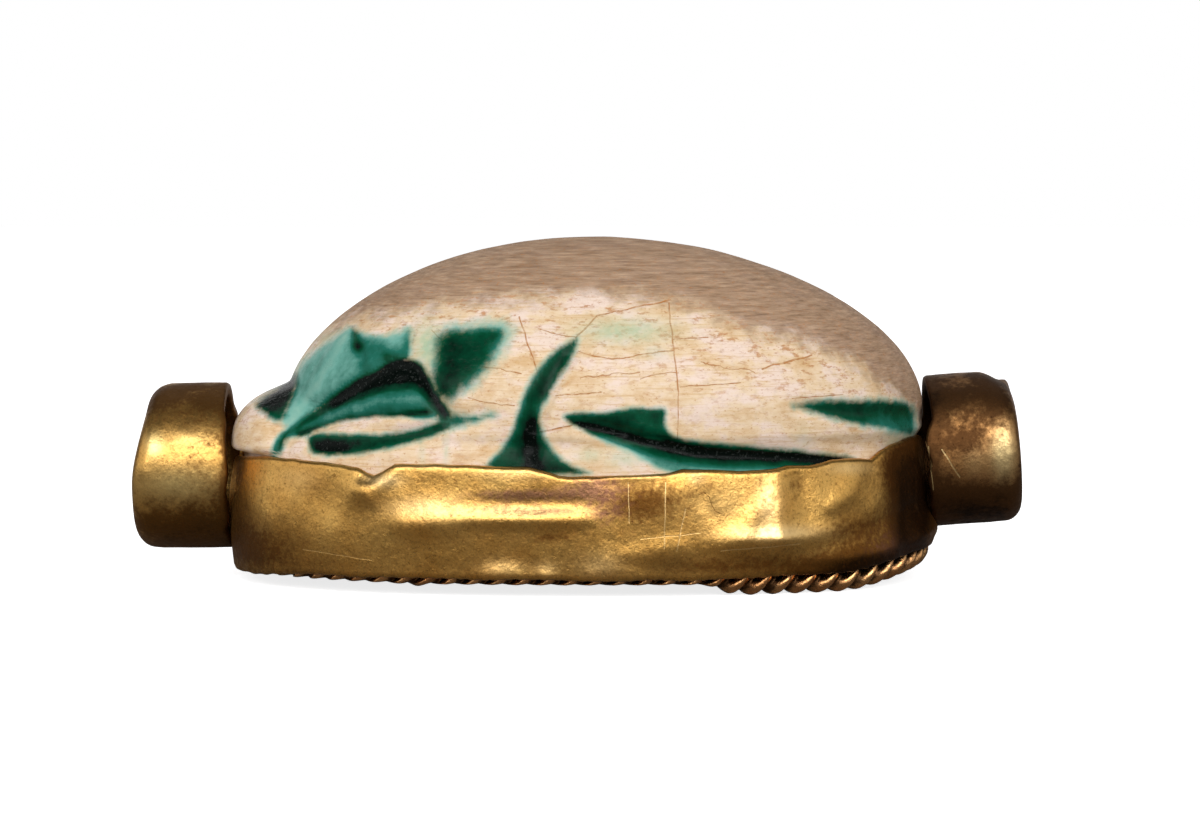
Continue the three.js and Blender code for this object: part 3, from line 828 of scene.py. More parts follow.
FOLDS = (
    Fold(((406, 462), (390, 473), (366, 489)), 0.42, 0.15, True),
    Fold(((404, 469), (470, 470), (590, 477)), 0.34, 0.045),
    Fold(((356, 478), (372, 479), (386, 470)), 0.15, -0.05),
    Fold(((390, 525), (430, 523), (462, 521)), 0.32, 0.07),
    Fold(((460, 520), (530, 520), (590, 519)), 0.20, 0.07),
    Fold(((466, 503), (530, 504), (590, 504)), 0.20, -0.035),
    Fold(((604, 486), (650, 488), (700, 486)), 0.50, 0.05),
    Fold(((712, 544), (740, 543), (772, 541), (825, 533), (850, 525)), 0.27, 0.080),
    Fold(((600, 560), (640, 556), (690, 546)), 0.30, 0.05),
    Fold(((778, 462), (778, 500), (777, 537)), 0.42, 0.16, True),
    Fold(((774, 476), (762, 506), (742, 536)), 0.36, 0.09, True),
    Fold(((796, 470), (804, 500), (812, 518)), 0.26, -0.05),
    Fold(((700, 476), (704, 500), (716, 520)), 0.22, -0.03),
    Fold(((600, 475), (640, 475), (676, 472)), 0.11, 0.05),
    Fold(((826, 512), (848, 492), (858, 470)), 0.28, 0.07),
    Fold(((900, 448), (908, 500), (912, 570)), 0.32, -0.14),
    Fold(((925, 470), (930, 520), (928, 560)), 0.35, 0.05),
    Fold(((479, 577), (505, 575), (529, 578)), 0.26, 0.06),
    Fold(((536, 577), (556, 577)), 0.24, 0.06),
    Fold(((582, 576), (604, 574), (646, 578)), 0.28, 0.06),
    Fold(((245, 470), (262, 520), (262, 560)), 0.50, 0.05),
    Fold(((300, 500), (345, 505)), 0.60, -0.05),
)
# Brown patina and painted shade on the band, as oval marks of the side view. The strips along the lower edge,
# the dark corner at the tail end and several darker patches on the wall are painted shade; the rest is
# patina.
PATINA_AND_SHADE = (
    (262, 548, 55, 28, 1.0), (240, 500, 14, 60, 0.6), (330, 566, 60, 10, 0.4), (530, 536, 75, 10, 0.45),
    (455, 545, 60, 14, 0.25), (374, 503, 14, 9, 0.45), (735, 566, 95, 13, 1.0), (880, 574, 64, 24, 2.8),
    (915, 508, 20, 70, 2.9), (430, 479, 44, 6, 0.40), (640, 503, 46, 24, 1.1), (862, 528, 36, 20, 0.95),
    (560, 584, 60, 4, 0.4), (330, 586, 80, 8, 1.6), (600, 590, 240, 6, 1.4), (893, 470, 18, 26, 0.85),
    (796, 486, 10, 16, 0.60), (764, 508, 18, 30, 0.40), (705, 488, 22, 9, 0.35), (300, 492, 40, 14, 0.20),
    (556, 536, 20, 8, 0.5),
)
BLUSH = (
    (526, 495, 62, 7, 0.95), (505, 511, 66, 8, 0.55), (594, 486, 34, 12, 0.9), (604, 510, 24, 16, 0.6),
    (905, 556, 34, 28, 0.8), (562, 471, 12, 4, 0.6), (238, 470, 8, 20, 0.6), (556, 512, 26, 5, 0.35),
)
# Painted highlights on the band, as oval marks of the side view: middle across and down, half width, half
# height and strength of each.
PAINTED_HIGHLIGHTS = (
    (382, 480, 18, 7, 1.0), (425, 508, 34, 11, 0.7), (520, 512, 56, 5, 0.7), (780, 532, 44, 7, 0.8),
    (768, 506, 12, 26, 0.8), (760, 535, 40, 5, 0.4), (636, 474, 34, 3, 1.0), (516, 474, 40, 7, 0.35),
    (502, 567, 24, 9, 0.40), (547, 569, 12, 8, 0.40), (600, 566, 24, 12, 0.45), (850, 468, 22, 6, 0.6),
    (300, 478, 22, 14, 0.25), (720, 505, 34, 18, 0.20), (697, 478, 9, 7, 0.5), (425, 466, 34, 2, 0.8),
)


def blots(marks: Sequence[tuple[float, ...]], across: Array, down: Array) -> Array:
    """Sums soft oval marks.

    Args:
        marks: Middle across and down, half width, half height and strength of each mark.
        across: Steps across of the points.
        down: Steps down of the points.

    Returns:
        The marks' strength at each point.
    """
    total = np.zeros(len(across))
    for middle, height, wide, tall, strength in marks:
        total += strength * np.exp(-(((across - middle) / wide) ** 2) - ((down - height) / tall) ** 2)
    return total


@dataclass
class Band:
    """The hammered gold band round the base, pressed over the stone and the wire."""

    name: str = "hammered_band"
    turns: int = 660
    wall_rows: int = 44
    lip_rows: int = 4
    inner_rows: int = 10
    fit: float = 0.05
    wall: float = 0.2
    crown: float = 0.1
    tail_flare: float = 0.42
    flare_share: float = 0.42
    near_crowding: float = 0.25
    hole: float = 1.8
    scallop: float = 0.02
    rag: float = 0.035
    scallop_pitch: float = 24.5
    rag_grain: float = 0.8
    lip_ripple: float = 0.018
    lip_ripple_grain: float = 0.35
    dent: float = 0.022
    dent_grain: float = 1.3
    small_dent: float = 0.0088
    small_dent_grain: float = 0.5
    plain_end: float = 2.2
    far_mark_share: float = 0.6

    def section(self) -> tuple[Array, Array, Array]:
        """Lays out the band's section.

        Returns:
            For each point of the section its distance from the stone, its share of the height, and its
            rise beside that share, all from the foot of the outer side round to the inner side.
        """
        lip = self.wall / 2
        middle = self.fit + lip
        rows = [(middle + lip, share, 0.0) for share in np.linspace(0, 1, self.wall_rows)]
        for i in range(1, self.lip_rows):
            turn = math.pi * i / self.lip_rows
            rows.append((middle + lip * math.cos(turn), 1.0, lip * math.sin(turn)))
        rows += [(middle - lip, share, 0.0) for share in np.linspace(1, 0, self.inner_rows)]
        for i in range(1, self.lip_rows):
            turn = math.pi * (1 + i / self.lip_rows)
            rows.append((middle + lip * math.cos(turn), 0.0, lip * math.sin(turn)))
        offset, share, rise = np.array(rows).T
        return offset, share, rise

    def upper_edge(self, x: Array, y: Array) -> Array:
        """Height of the band's upper edge above the plan points."""
        level = np.full(len(x), 3.0)
        across, _ = VIEW.project(np.stack([x, -np.abs(y), level], 1))
        stations = np.array(BAND_TOP_NEAR, float)
        down = np.interp(across, stations[:, 0], stations[:, 1])
        near = VIEW.height(down, -np.abs(y))
        along = (x - BASE_PLAN.middle) / BASE_PLAN.reach(x)
        far_stations = np.array(BAND_TOP_FAR)
        far = np.interp(along, far_stations[:, 0], far_stations[:, 1])
        edge = near + (far - near) * ease(y, -0.6, 1.6)
        ripple = np.stack([x, y, level], 1)
        return edge + self.lip_ripple * rough_field(ripple, self.lip_ripple_grain, 11)

    def lower_edge(self, x: Array, y: Array) -> Array:
        """Height of the band's lower edge, scalloped over the wire's turns."""
        stations = np.array(BAND_BOTTOM)
        edge = np.interp((x - BASE_PLAN.middle) / BASE_PLAN.reach(x), stations[:, 0], stations[:, 1])
        across, _ = VIEW.project(np.stack([x, -np.abs(y), np.full(len(x), 0.4)], 1))
        wave = np.cos(2 * math.pi * across / self.scallop_pitch) ** 2
        ragged = rough_field(np.stack([x, y, np.zeros(len(x))], 1), self.rag_grain, 12)
        return edge + self.scallop * wave + self.rag * ragged + tail_lift(x)

    def relief(self, points: Array) -> Array:
        """How far the hammered wall stands out at the points, in millimetres."""
        across, down = VIEW.flank(points)
        height = np.zeros(len(points))
        for fold in FOLDS:
            away, along = line_distance(fold.path, across, down)
            taper = 0.3 + 0.7 * np.sin(math.pi * np.clip(along, 0.0, 1.0)) ** 0.5
            width = np.full(len(away), fold.width)
            if fold.grows:
                taper, width = along, width * (0.3 + 0.7 * along)
            height += fold.height * bell(away, width) * taper
        ends = np.abs(points[:, 1]) < self.plain_end
        height = np.where(ends, height * 0.5, height)
        height += self.dent * rough_field(points, self.dent_grain, 21)
        return height + self.small_dent * rough_field(points, self.small_dent_grain, 22)

    def build(self) -> bpy.types.Object:
        """Makes the band as one spun ring, carried onto the plan and dented.

        Returns:
            The band, with the holes for the bore.
        """
        offset, share, rise = self.section()
        bm, place, turn = spun_ring(len(offset), self.turns)
        angle = turn - self.near_crowding * np.cos(turn)
        offset, share, rise = offset[place], share[place], rise[place]
        x, y = BASE_PLAN.edge(angle, self.fit + self.wall)
        low, top = self.lower_edge(x, y), self.upper_edge(x, y)
        lip = self.wall / 2
        z = low + lip + (top - low - 2 * lip) * share + rise
        outer = ease(offset, self.fit, self.fit + self.wall)
        offset = offset + self.crown * np.sin(math.pi * share) * outer
        skirt = share / self.flare_share
        rolled = (1 - ease(skirt, 0.0, 1.0)) * (0.7 + 0.3 * ease(skirt, 0.0, 0.3))
        offset += self.tail_flare * tail_share(x) * rolled
        x, y = BASE_PLAN.edge(angle, offset)
        bulge = self.relief(np.stack([x, y, z], 1))
        offset += np.where(outer > 0.4, bulge, np.maximum(bulge, 0) * 0.9)
        x, y = BASE_PLAN.edge(angle, offset)
        carry(bm, np.stack([x, y, z], 1))
        made = object_from(bm, self.name)
        bored(made, self.hole)
        points = points_of(made)
        across, down = VIEW.flank(points)
        calm = np.where(points[:, 1] > 0, self.far_mark_share, 1.0)
        # The band's marks: brown patina with painted shade, purple tarnish, and painted highlights. The far
        # side gets the near side's marks mirrored and weaker.
        write_value(made, "patina_and_shade", blots(PATINA_AND_SHADE, across, down) * calm)
        write_value(made, "blush", blots(BLUSH, across, down) * calm)
        write_value(made, "painted_highlight", blots(PAINTED_HIGHLIGHTS, across, down) * calm)
        return made


@dataclass
class WireFoot:
    """The foot of two wires twisted together, which swings out under the tail end."""

    name: str = "twisted_foot"
    half_turns: int = 78
    steps_per_half_turn: int = 14
    section: int = 20
    radius: float = 0.36
    waist: float = 0.13
    phase: float = math.pi / 6
    swing: float = 0.42
    pressed: float = 0.68
    worn_flat: float = 0.29
    worn_from: float = 0.45
    worn_to: float = 0.33
    band_side: tuple[float, float] = (0.0, 2.0)
    band_end: tuple[float, float] = (2.2, 4.2)
    loose_at: float = 416.0
    loose_reach: float = 34.0

    def route(self, count: int) -> tuple[Array, Array]:
        """Spaces points evenly along the foot's middle line.

        Args:
            count: Number of points.

        Returns:
            The points, and the outward directions there.
        """
        angle = np.linspace(0, 2 * math.pi, 4001)
        x, _ = BASE_PLAN.edge(angle)
        x, y = BASE_PLAN.edge(angle, self.swing * tail_share(x) - self.radius)
        length = np.concatenate([[0], np.cumsum(np.hypot(np.diff(x), np.diff(y)))])
        at = np.linspace(0, length[-1], count, endpoint=False)
        points = np.stack([np.interp(at, length, x), np.interp(at, length, y)], 1)
        tangent = np.roll(points, -1, axis=0) - np.roll(points, 1, axis=0)
        tangent /= np.linalg.norm(tangent, axis=1, keepdims=True)
        return points, np.stack([tangent[:, 1], -tangent[:, 0]], 1)

    def kept_height(self, x: Array, y: Array) -> Array:
        """Share of its height that the wire keeps where the band is pressed over it."""
        under_band = (1 - ease(y, *self.band_side)) * (1 - ease(x, *self.band_end))
        across, _ = VIEW.project(np.stack([x, y, np.full(len(x), 0.2)], 1))
        loose = bell(across - self.loose_at, self.loose_reach)
        return 1 - (1 - self.pressed) * under_band * (1 - 0.5 * loose)

    def build(self) -> bpy.types.Object:
        """Makes the foot as one spun ring, carried along its route as it twists.

        Returns:
            The foot.
        """
        count = self.half_turns * self.steps_per_half_turn
        bm, place, turn = spun_ring(self.section, count)
        station = np.round(turn / (2 * math.pi) * count).astype(int) % count
        points, outward = self.route(count)
        around = 2 * math.pi * place / self.section
        reach = np.hypot(self.radius * np.cos(around), self.waist * np.sin(around))
        twist = around + self.phase + station / count * self.half_turns * math.pi
        aside, up = reach * np.cos(twist), reach * np.sin(twist)
        flat = points[station] + outward[station] * aside[:, None]
        z = np.maximum(self.radius + up, 0.0)
        kept = self.kept_height(flat[:, 0], flat[:, 1])
        z = 2 * self.radius - (2 * self.radius - z) * kept
        levels = (0.0, self.worn_flat, self.worn_from, 2 * self.radius)
        worn = (self.worn_flat - 0.01, self.worn_flat, self.worn_to, 2 * self.radius)
        flattened = np.interp(z, levels, worn)
        z += (flattened - z) * ease(1 - kept, 0.05, 0.25)
        z += tail_lift(flat[:, 0])
        carry(bm, np.column_stack([flat, z]))
        made = object_from(bm, self.name)
        write_value(made, "strand", reach / self.radius)
        return made


class End(Enum):
    """Which end of the bore a collar stands at, as the direction it faces."""

    HEAD = -1
    TAIL = 1


@dataclass
class Collar:
    """A gold collar: a dented cup with a rounded rim and a hole through its outer end."""

    name: str
    node: str
    end: End
    seat_x: float
    seat_z: float
    diameter: float
    length: float
    tilt: float
    wall: float = 0.3
    rounding: float = 0.4
    hole: float = 1.4
    turns: int = 200
    dent: float = 0.030
    small_dent: float = 0.012
    crushed: float = 0.10
    set_back: float = 0.30
    burr: float = 0.16
    lump: float = 0.14
    lump_start: float = 0.7
    # Oval marks of the side view: painted shade with some brown patina, then painted highlights.
    patina_and_shade: tuple[tuple[float, ...], ...] = ()
    painted_highlight: tuple[tuple[float, ...], ...] = ()

    def seat(self) -> Vector:
        """Middle of the collar's open side, in millimetres."""
        return Vector((self.seat_x, 0.0, self.seat_z))

    def profile(self) -> Array:
        """Lays out the collar's section.

        Returns:
            Rows of radius, distance from the open side, and 1 where the metal's outside is.
        """
        radius, length, inner = self.diameter / 2, self.length, self.diameter / 2 - self.wall
        rows = [(radius, share * (length - self.rounding), 1.0) for share in np.linspace(0.03, 1, 34)]
        for i in range(1, 10):
            turn = i / 9 * math.pi / 2
            rows.append((
                radius - self.rounding * (1 - math.cos(turn)),
                length - self.rounding * (1 - math.sin(turn)), 1.0,
            ))
        for share in np.linspace(0.08, 1, 14):
            flat = radius - self.rounding
            rows.append((flat + (self.hole / 2 - flat) * share, length, 1.0))
        rows += [(self.hole / 2, length - self.wall * share, 0.0) for share in (0.5, 1.0)]
        for share in (0.3, 0.7, 1.0):
            rows.append((self.hole / 2 + (inner - self.hole / 2) * share, length - self.wall, 0.0))
        rows += [(inner, (length - self.wall) * share, 0.0) for share in (0.7, 0.4, 0.15, 0.03)]
        rows += [(inner + self.wall * share, 0.0, 0.5) for share in (0.1, 0.5, 0.9)]
        return np.array(rows)

    def worn(self, radius: Array, along: Array, turn: Array, outside: Array) -> tuple[Array, Array]:
        """Dents the collar.

        Args:
            radius: Radius of each point.
            along: Distance of each point from the open side.
            turn: Angle of each point, 0 on top and positive towards the near side.
            outside: How much each point lies on the metal's outside.

        Returns:
            The new radius and distance.
        """
        at = np.stack([along, 2.0 * np.cos(turn), 2.0 * np.sin(turn)], 1)
        seed = 31 if self.end is End.HEAD else 41
        dent = self.dent * rough_field(at, 1.1, seed) + self.small_dent * rough_field(at, 0.42, seed + 1)
        top = bell(turn, 0.9)
        edge = ease(along, self.length - 0.75, self.length)
        if self.end is End.HEAD:
            dent -= self.crushed * top * edge + self.dent * edge
            along = along - self.set_back * ease(np.cos(turn), -0.3, 1.0) * ease(along, 1.0, self.length)
        else:
            dent -= self.crushed * bell(turn + 0.1, 0.8) * ease(along, self.length - 0.8, self.length)
            lip = bell(turn + 0.1, 0.35) * bell(along - self.length + 0.12, 0.12)
            dent += self.burr * lip
            dent -= 2 * self.dent * bell(turn - 1.4, 0.5) * bell(along - 0.5 * self.length, 0.5)
            along = along + 0.07 * lip
        rim_share = ease(radius, self.hole / 2, self.diameter / 2 - self.rounding)
        radius = radius + dent * rim_share * np.where(outside > 0.4, 1.0, 0.5)
        rim = ease(0.35 - along, 0.0, 0.35)
        lumps = 0.75 + 0.5 * rough_field(at * np.array([0.2, 1, 1]), 0.5, seed + 2)
        lumps *= ease(np.abs(turn), self.lump_start, self.lump_start + 0.4)
        along = along - self.lump * np.clip(lumps, 0, 1) * rim
        return radius, along

    def build(self) -> bpy.types.Object:
        """Makes the collar as one spun ring, dented and turned to its end of the bore.

        Returns:
            The collar.
        """
        rows = self.profile()
        bm, place, turn = spun_ring(len(rows), self.turns)
        radius, along, outside = rows[place].T
        radius, along = self.worn(radius, along, turn, outside)
        side = self.end.value
        points = np.stack([side * along, -radius * np.sin(turn), radius * np.cos(turn)], 1)
        carry(bm, points)
        bmesh.ops.rotate(bm, cent=(0, 0, 0), matrix=Matrix.Rotation(-self.tilt, 3, "Y"), verts=bm.verts[:])
        bmesh.ops.translate(bm, vec=self.seat(), verts=bm.verts[:])
        made = object_from(bm, self.name)
        across, down = VIEW.flank(points_of(made))
        # Painted shade with some patina, and painted highlights, kept on the mesh.
        write_value(made, "patina_and_shade", blots(self.patina_and_shade, across, down))
        write_value(made, "painted_highlight", blots(self.painted_highlight, across, down))
        return made


# Each collar's first marks paint shade on its top, its underside and where it meets the band, over some brown
# patina; its second marks paint highlights.
HEAD_COLLAR = Collar(
    name="head_end_collar", node="collar_head_end", end=End.HEAD,
    seat_x=-8.7, seat_z=2.78, diameter=4.1, length=2.26, tilt=0.0,
    patina_and_shade=((185, 396, 60, 18, 0.85), (185, 532, 60, 28, 1.35), (228, 470, 7, 80, 1.4)),
    painted_highlight=((154, 444, 8, 12, 1.0), (190, 438, 30, 9, 0.35), (180, 486, 44, 18, 0.9)),
)
TAIL_COLLAR = Collar(
    name="tail_end_collar", node="collar_tail_end", end=End.TAIL,
    seat_x=8.84, seat_z=3.12, diameter=3.8, length=2.1, tilt=0.09, crushed=0.36, lump=0.32, lump_start=1.0,
    patina_and_shade=(
        (960, 394, 60, 20, 0.8), (930, 440, 12, 60, 1.1), (970, 508, 60, 26, 1.7), (962, 440, 22, 16, 1.1),
        (916, 460, 9, 90, 1.8), (985, 420, 20, 14, 0.4),
    ),
    painted_highlight=((1004, 456, 11, 24, 1.3), (975, 462, 12, 16, 0.25)),
)


Feed = bpy.types.NodeSocket | float | tuple


@dataclass
class Board:
    """Sets out and joins shader nodes in one tree."""

    tree: bpy.types.NodeTree

    def node(
        self, kind: str, feeds: dict[str | int, Feed] | None = None, **settings: object
    ) -> bpy.types.Node:
        """Adds a node.

        Args:
            kind: The node's type name.
            feeds: What goes into its inputs: a socket to join, or a plain value.
            **settings: Its other settings.

        Returns:
            The node.
        """
        made = self.tree.nodes.new(kind)
        for name, value in settings.items():
            setattr(made, name, value)
        for name, value in (feeds or {}).items():
            self.feed(made.inputs[name], value)
        return made

    def feed(self, socket: bpy.types.NodeSocket, value: Feed) -> None:
        """Joins a socket, or sets its plain value."""
        if isinstance(value, bpy.types.NodeSocket):
            self.tree.links.new(value, socket)
        else:
            socket.default_value = value

    def math(
        self, operation: str, first: Feed, second: Feed = 0.0, clamp: bool = False
    ) -> bpy.types.NodeSocket:
        """Returns the result of a Math node."""
        made = self.node("ShaderNodeMath", {0: first, 1: second}, operation=operation, use_clamp=clamp)
        return made.outputs[0]

    def vector(self, operation: str, first: Feed, second: Feed) -> bpy.types.NodeSocket:
        """Returns the vector result of a Vector Math node."""
        return self.node("ShaderNodeVectorMath", {0: first, 1: second}, operation=operation).outputs[0]

    def mix(self, share: Feed, first: Feed, second: Feed, blend: str = "MIX") -> bpy.types.NodeSocket:
        """Returns the colour of a Mix node."""
        feeds: dict[str | int, Feed] = {0: share, 6: first, 7: second}
        return self.node("ShaderNodeMix", feeds, data_type="RGBA", blend_type=blend).outputs[2]

    def blend(self, share: Feed, first: Feed, second: Feed) -> bpy.types.NodeSocket:
        """Returns the number of a Mix node."""
        return self.node("ShaderNodeMix", {0: share, 2: first, 3: second}).outputs[0]

    def noise(self, at: Feed, scale: Feed, detail: float = 3.0, rough: float = 0.55) -> bpy.types.NodeSocket:
        """Returns a cloudy value of about 0.3 to 0.7."""
        feeds = {"Vector": at, "Scale": scale, "Detail": detail, "Roughness": rough}
        return self.node("ShaderNodeTexNoise", feeds).outputs[0]

    def swing(self, value: Feed, strength: float) -> bpy.types.NodeSocket:
        """Returns a cloudy value carried about nothing, at a strength."""
        return self.math("MULTIPLY", self.math("SUBTRACT", value, 0.5), strength)

    def span(
        self, value: Feed, low: Feed, high: Feed, start: Feed = 0.0, end: Feed = 1.0
    ) -> bpy.types.NodeSocket:
        """Returns a value carried smoothly from one span to another."""
        feeds = {"Value": value, "From Min": low, "From Max": high, "To Min": start, "To Max": end}
        return self.node("ShaderNodeMapRange", feeds, interpolation_type="SMOOTHSTEP").outputs[0]

    def ramp(self, value: Feed, stops: Sequence[tuple[float, Colour]]) -> bpy.types.NodeSocket:
        """Returns the colour of a Color Ramp node with the stops given."""
        made = self.node("ShaderNodeValToRGB", {0: value})
        elements = made.color_ramp.elements
        elements[0].position, elements[0].color = stops[0]
        elements[1].position, elements[1].color = stops[-1]
        for position, colour in stops[1:-1]:
            elements.new(position).color = colour
        return made.outputs[0]

    def stretched(self, at: Feed, scale: tuple[float, float, float]) -> bpy.types.NodeSocket:
        """Returns coordinates stretched by a scale on each axis."""
        return self.vector("MULTIPLY", at, scale)

    def attribute(self, name: str) -> bpy.types.NodeSocket:
        """Returns a number kept on the mesh."""
        return self.node("ShaderNodeAttribute", attribute_name=name).outputs["Fac"]

    def place(self) -> bpy.types.NodeSocket:
        """Returns the piece's own coordinates, in millimetres."""
        at = self.node("ShaderNodeTexCoord").outputs["Object"]
        return self.vector("MULTIPLY", at, (1 / MM, 1 / MM, 1 / MM))


def new_group(
    name: str, inputs: dict[str, tuple[str, object]], outputs: dict[str, str]
) -> tuple[bpy.types.NodeTree, Board, bpy.types.Node, bpy.types.Node]:
    """Starts a shader node group.

    Args:
        name: Name of the group.
        inputs: Kind and starting value of each input, by name.
        outputs: Kind of each output, by name.

    Returns:
        The group, its board, and its input and output nodes.
    """
    tree = bpy.data.node_groups.new(name, "ShaderNodeTree")
    for label, (kind, value) in inputs.items():
        socket = tree.interface.new_socket(label, in_out="INPUT", socket_type=kind)
        socket.default_value = value
    for label, kind in outputs.items():
        tree.interface.new_socket(label, in_out="OUTPUT", socket_type=kind)
    board = Board(tree)
    return tree, board, board.node("NodeGroupInput"), board.node("NodeGroupOutput")


def hairline_group() -> bpy.types.NodeTree:
    """Builds the group that draws one thin wavering line across a flank, as a crack or a scratch.

    Returns:
        The group, whose Mask is 1 on the line.
    """
    tree, board, given, result = new_group(
        "hairline",
        {
            "Place": ("NodeSocketVector", (0.0, 0.0, 0.0)),
            "Start": ("NodeSocketVector", (0.0, 0.0, 0.0)),
            "End": ("NodeSocketVector", (1.0, 0.0, 0.0)),
            "Width": ("NodeSocketFloat", 0.02),
            "Waver": ("NodeSocketFloat", 0.1),
        },
        {"Mask": "NodeSocketFloat"},
    )
    place = board.stretched(given.outputs["Place"], (1.0, 0.0, 1.0))
    cloud = board.node("ShaderNodeTexNoise", {"Vector": place, "Scale": 2.2, "Detail": 3.0}).outputs["Color"]
    shift = board.vector("SUBTRACT", cloud, (0.5, 0.5, 0.5))
    shift = board.node("ShaderNodeVectorMath", {0: shift, "Scale": given.outputs["Waver"]}, operation="SCALE")
    place = board.vector("ADD", place, board.stretched(shift.outputs[0], (1.0, 0.0, 1.0)))
    reach = board.vector("SUBTRACT", given.outputs["End"], given.outputs["Start"])
    away = board.vector("SUBTRACT", place, given.outputs["Start"])
    dot = board.node("ShaderNodeVectorMath", {0: away, 1: reach}, operation="DOT_PRODUCT").outputs["Value"]
    whole = board.node("ShaderNodeVectorMath", {0: reach, 1: reach}, operation="DOT_PRODUCT").outputs["Value"]
    share = board.math("DIVIDE", dot, whole, clamp=True)
    along = board.node("ShaderNodeVectorMath", {0: reach, "Scale": share}, operation="SCALE").outputs[0]
    gap = board.node("ShaderNodeVectorMath", {0: away, 1: along}, operation="DISTANCE").outputs["Value"]
    half = board.math("MULTIPLY", given.outputs["Width"], 0.5)
    mask = board.span(gap, half, given.outputs["Width"], 1.0, 0.0)
    board.feed(result.inputs["Mask"], mask)
    return tree


def speckle_group() -> bpy.types.NodeTree:
    """Builds the group that scatters small specks, as pits, dirt or grains.

    Returns:
        The group, whose Mask is 1 on a speck.
    """
    tree, board, given, result = new_group(
        "speckle",
        {
            "Place": ("NodeSocketVector", (0.0, 0.0, 0.0)),
            "Scale": ("NodeSocketFloat", 8.0),
            "Threshold": ("NodeSocketFloat", 0.62),
            "Softness": ("NodeSocketFloat", 0.05),
        },
        {"Mask": "NodeSocketFloat"},
    )
    cloud = board.noise(given.outputs["Place"], given.outputs["Scale"], 4.0, 0.62)
    high = board.math("ADD", given.outputs["Threshold"], given.outputs["Softness"])
    board.feed(result.inputs["Mask"], board.span(cloud, given.outputs["Threshold"], high))
    return tree


@dataclass(frozen=True)
class Effects:
    """The shader groups that more than one finish uses."""

    hairline: bpy.types.NodeTree
    speckle: bpy.types.NodeTree

    def line(
        self, board: Board, place: Feed, start: tuple[float, float], end: tuple[float, float],
        width: float, waver: float,
    ) -> bpy.types.NodeSocket:
        """Draws a thin line between two places of the side view.

        Args:
            board: Board of the finish.
            place: Coordinates of the surface, in millimetres.
            start: Steps across and down of the line's start.
            end: Steps across and down of its end.
            width: Half its width in millimetres.
            waver: How far it wanders, in millimetres.

        Returns:
            The line's mask.
        """
        feeds: dict[str | int, Feed] = {
            "Place": place, "Start": self.on_flank(*start), "End": self.on_flank(*end),
            "Width": width, "Waver": waver,
        }
        return board.node("ShaderNodeGroup", feeds, node_tree=self.hairline).outputs[0]

    @staticmethod
    def on_flank(across: float, down: float) -> tuple[float, float, float]:
        """Place on the near flank, with no depth, of a place in the side view."""
        scale = VIEW.pull / (VIEW.distance + FLANK_Y)
        x = VIEW.target[0] + (across - VIEW.middle[0]) / scale
        return (x, 0.0, float(VIEW.height(np.array(down), np.array(FLANK_Y))))

    def specks(
        self, board: Board, place: Feed, scale: float, threshold: float, softness: float = 0.05
    ) -> bpy.types.NodeSocket:
        """Returns a mask of small specks."""
        feeds: dict[str | int, Feed] = {
            "Place": place, "Scale": scale, "Threshold": threshold, "Softness": softness,
        }
        return board.node("ShaderNodeGroup", feeds, node_tree=self.speckle).outputs[0]


CRACKS = (
    ((519, 318), (538, 372), 0.020, 0.10), ((669, 304), (678, 391), 0.022, 0.10),
    ((678, 391), (677, 469), 0.013, 0.05), ((556, 395), (601, 391), 0.018, 0.12),
    ((578, 351), (612, 359), 0.018, 0.12), ((612, 359), (673, 350), 0.018, 0.12),
    ((576, 338), (597, 316), 0.022, 0.08), ((597, 316), (671, 301), 0.022, 0.10),
    ((673, 340), (708, 338), 0.018, 0.1), ((680, 386), (740, 383), 0.014, 0.10),
    ((762, 369), (814, 356), 0.024, 0.15), ((480, 366), (520, 372), 0.014, 0.2),
    ((469, 399), (514, 405), 0.014, 0.2), ((430, 331), (440, 340), 0.018, 0.1),
    ((792, 399), (845, 396), 0.014, 0.1), ((541, 431), (572, 424), 0.026, 0.03),
    ((540, 330), (576, 338), 0.014, 0.2), ((640, 377), (676, 372), 0.014, 0.2),
    ((700, 362), (752, 372), 0.014, 0.4), ((580, 376), (640, 371), 0.016, 0.3),
)


